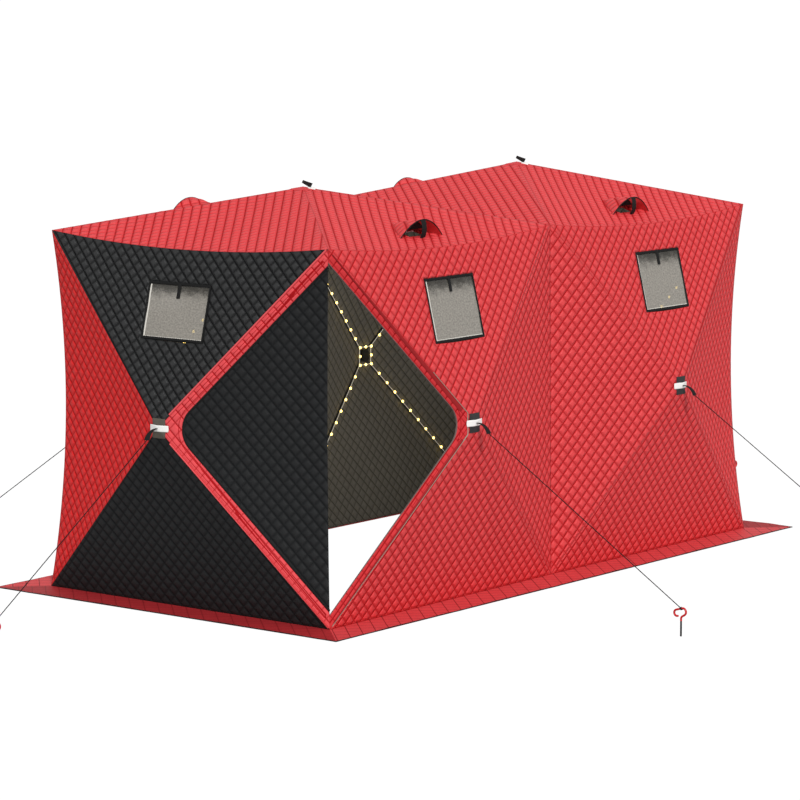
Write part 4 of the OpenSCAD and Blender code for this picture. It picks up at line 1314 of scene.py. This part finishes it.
# %% [markdown]
# ## Frame and lights
#
# Poles, hub blocks, stake shafts and the lights' wires keep the solids' shapes, which are already
# right, and get their finishes here. The lamps on the wires are small warm globes, a span apart along
# each pole and eight round the square at the hub. They glow, which also warms the lining a little.

# %% Finishes of the carried-over solids, and the lamps
FINISHES = {"hub_blocks": hub_plastic, "stake_shafts": stake_steel, "light_strings": wire_plastic}
FINISHES.update({node: pole_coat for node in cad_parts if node.endswith("_poles")})
for node, material in FINISHES.items():
    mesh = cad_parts[node].data
    mesh.materials.clear()
    mesh.materials.append(material)
    mesh.shade_smooth()
    mesh.set_sharp_from_angle(angle=math.radians(40))

WIRE_IN = CLOTH + 1 * MM + 11 * MM + 1.75 * MM + 0.25 * MM
WIRE_SQUARE, LAMP_STEP, LAMP_RADIUS, LAMP_GLOW = 0.100, 0.082, 0.0065, 5.0
# Half the square's diagonal, how far lamps stand off the wire, and where their rows start at the hub
# and stop short of a lower and an upper corner
SQUARE_REACH, LAMP_OUT, LAMPS_START, LAMPS_END = 0.0707, 5 * MM, 0.155, (0.15, 0.23)
lamp_glass, tree, shader = new_material("warm white lamp globe, glowing glass")
feed(tree, shader, {"Base Color": srgb("#4a4436"), "Emission Color": srgb("#ffdc76"),
                    "Emission Strength": LAMP_GLOW, "Roughness": 0.2})

around, levels = np.arange(10) * 2 * np.pi / 10, np.linspace(-0.9, 0.9, 7) * np.pi / 2
turns, rises = np.meshgrid(around, levels, indexing="ij")
globe = np.stack([np.cos(rises) * np.cos(turns), np.cos(rises) * np.sin(turns), np.sin(rises) * 1.15], -1)
globe = globe.transpose(1, 0, 2) * LAMP_RADIUS
lamp_parts = []
for face in (FAR_END, BACK_1, BACK_2):
    hub, across, up, out = face_frame(face)
    inner = hub - out * WIRE_IN
    spots = []
    for c in [c for seam in cross_seams(face) for c in seam]:
        corner = corner_at(c) - WIRE_IN * np.array(c, float)
        along = unit(corner - inner)
        span = np.linalg.norm(corner - inner) - LAMPS_END[c[2]]
        spots += [inner + along * at - out * LAMP_OUT for at in np.arange(LAMPS_START, span, LAMP_STEP)]
        depth = SQUARE_REACH * abs(along @ out)
    half = WIRE_SQUARE / 2
    for a, b in ((-1, -1), (0, -1), (1, -1), (1, 0), (1, 1), (0, 1), (-1, 1), (-1, 0)):
        spots.append(inner - out * (depth + LAMP_OUT) + (a * across + b * up) * half)
    for spot in spots:
        lamp_parts.append(((globe + spot).reshape(-1, 3), tube_faces(7, 10), 0, None))
join("light_string_lamps", lamp_parts, [lamp_glass], "wire_plastic")
print("lamps:", len(lamp_parts))
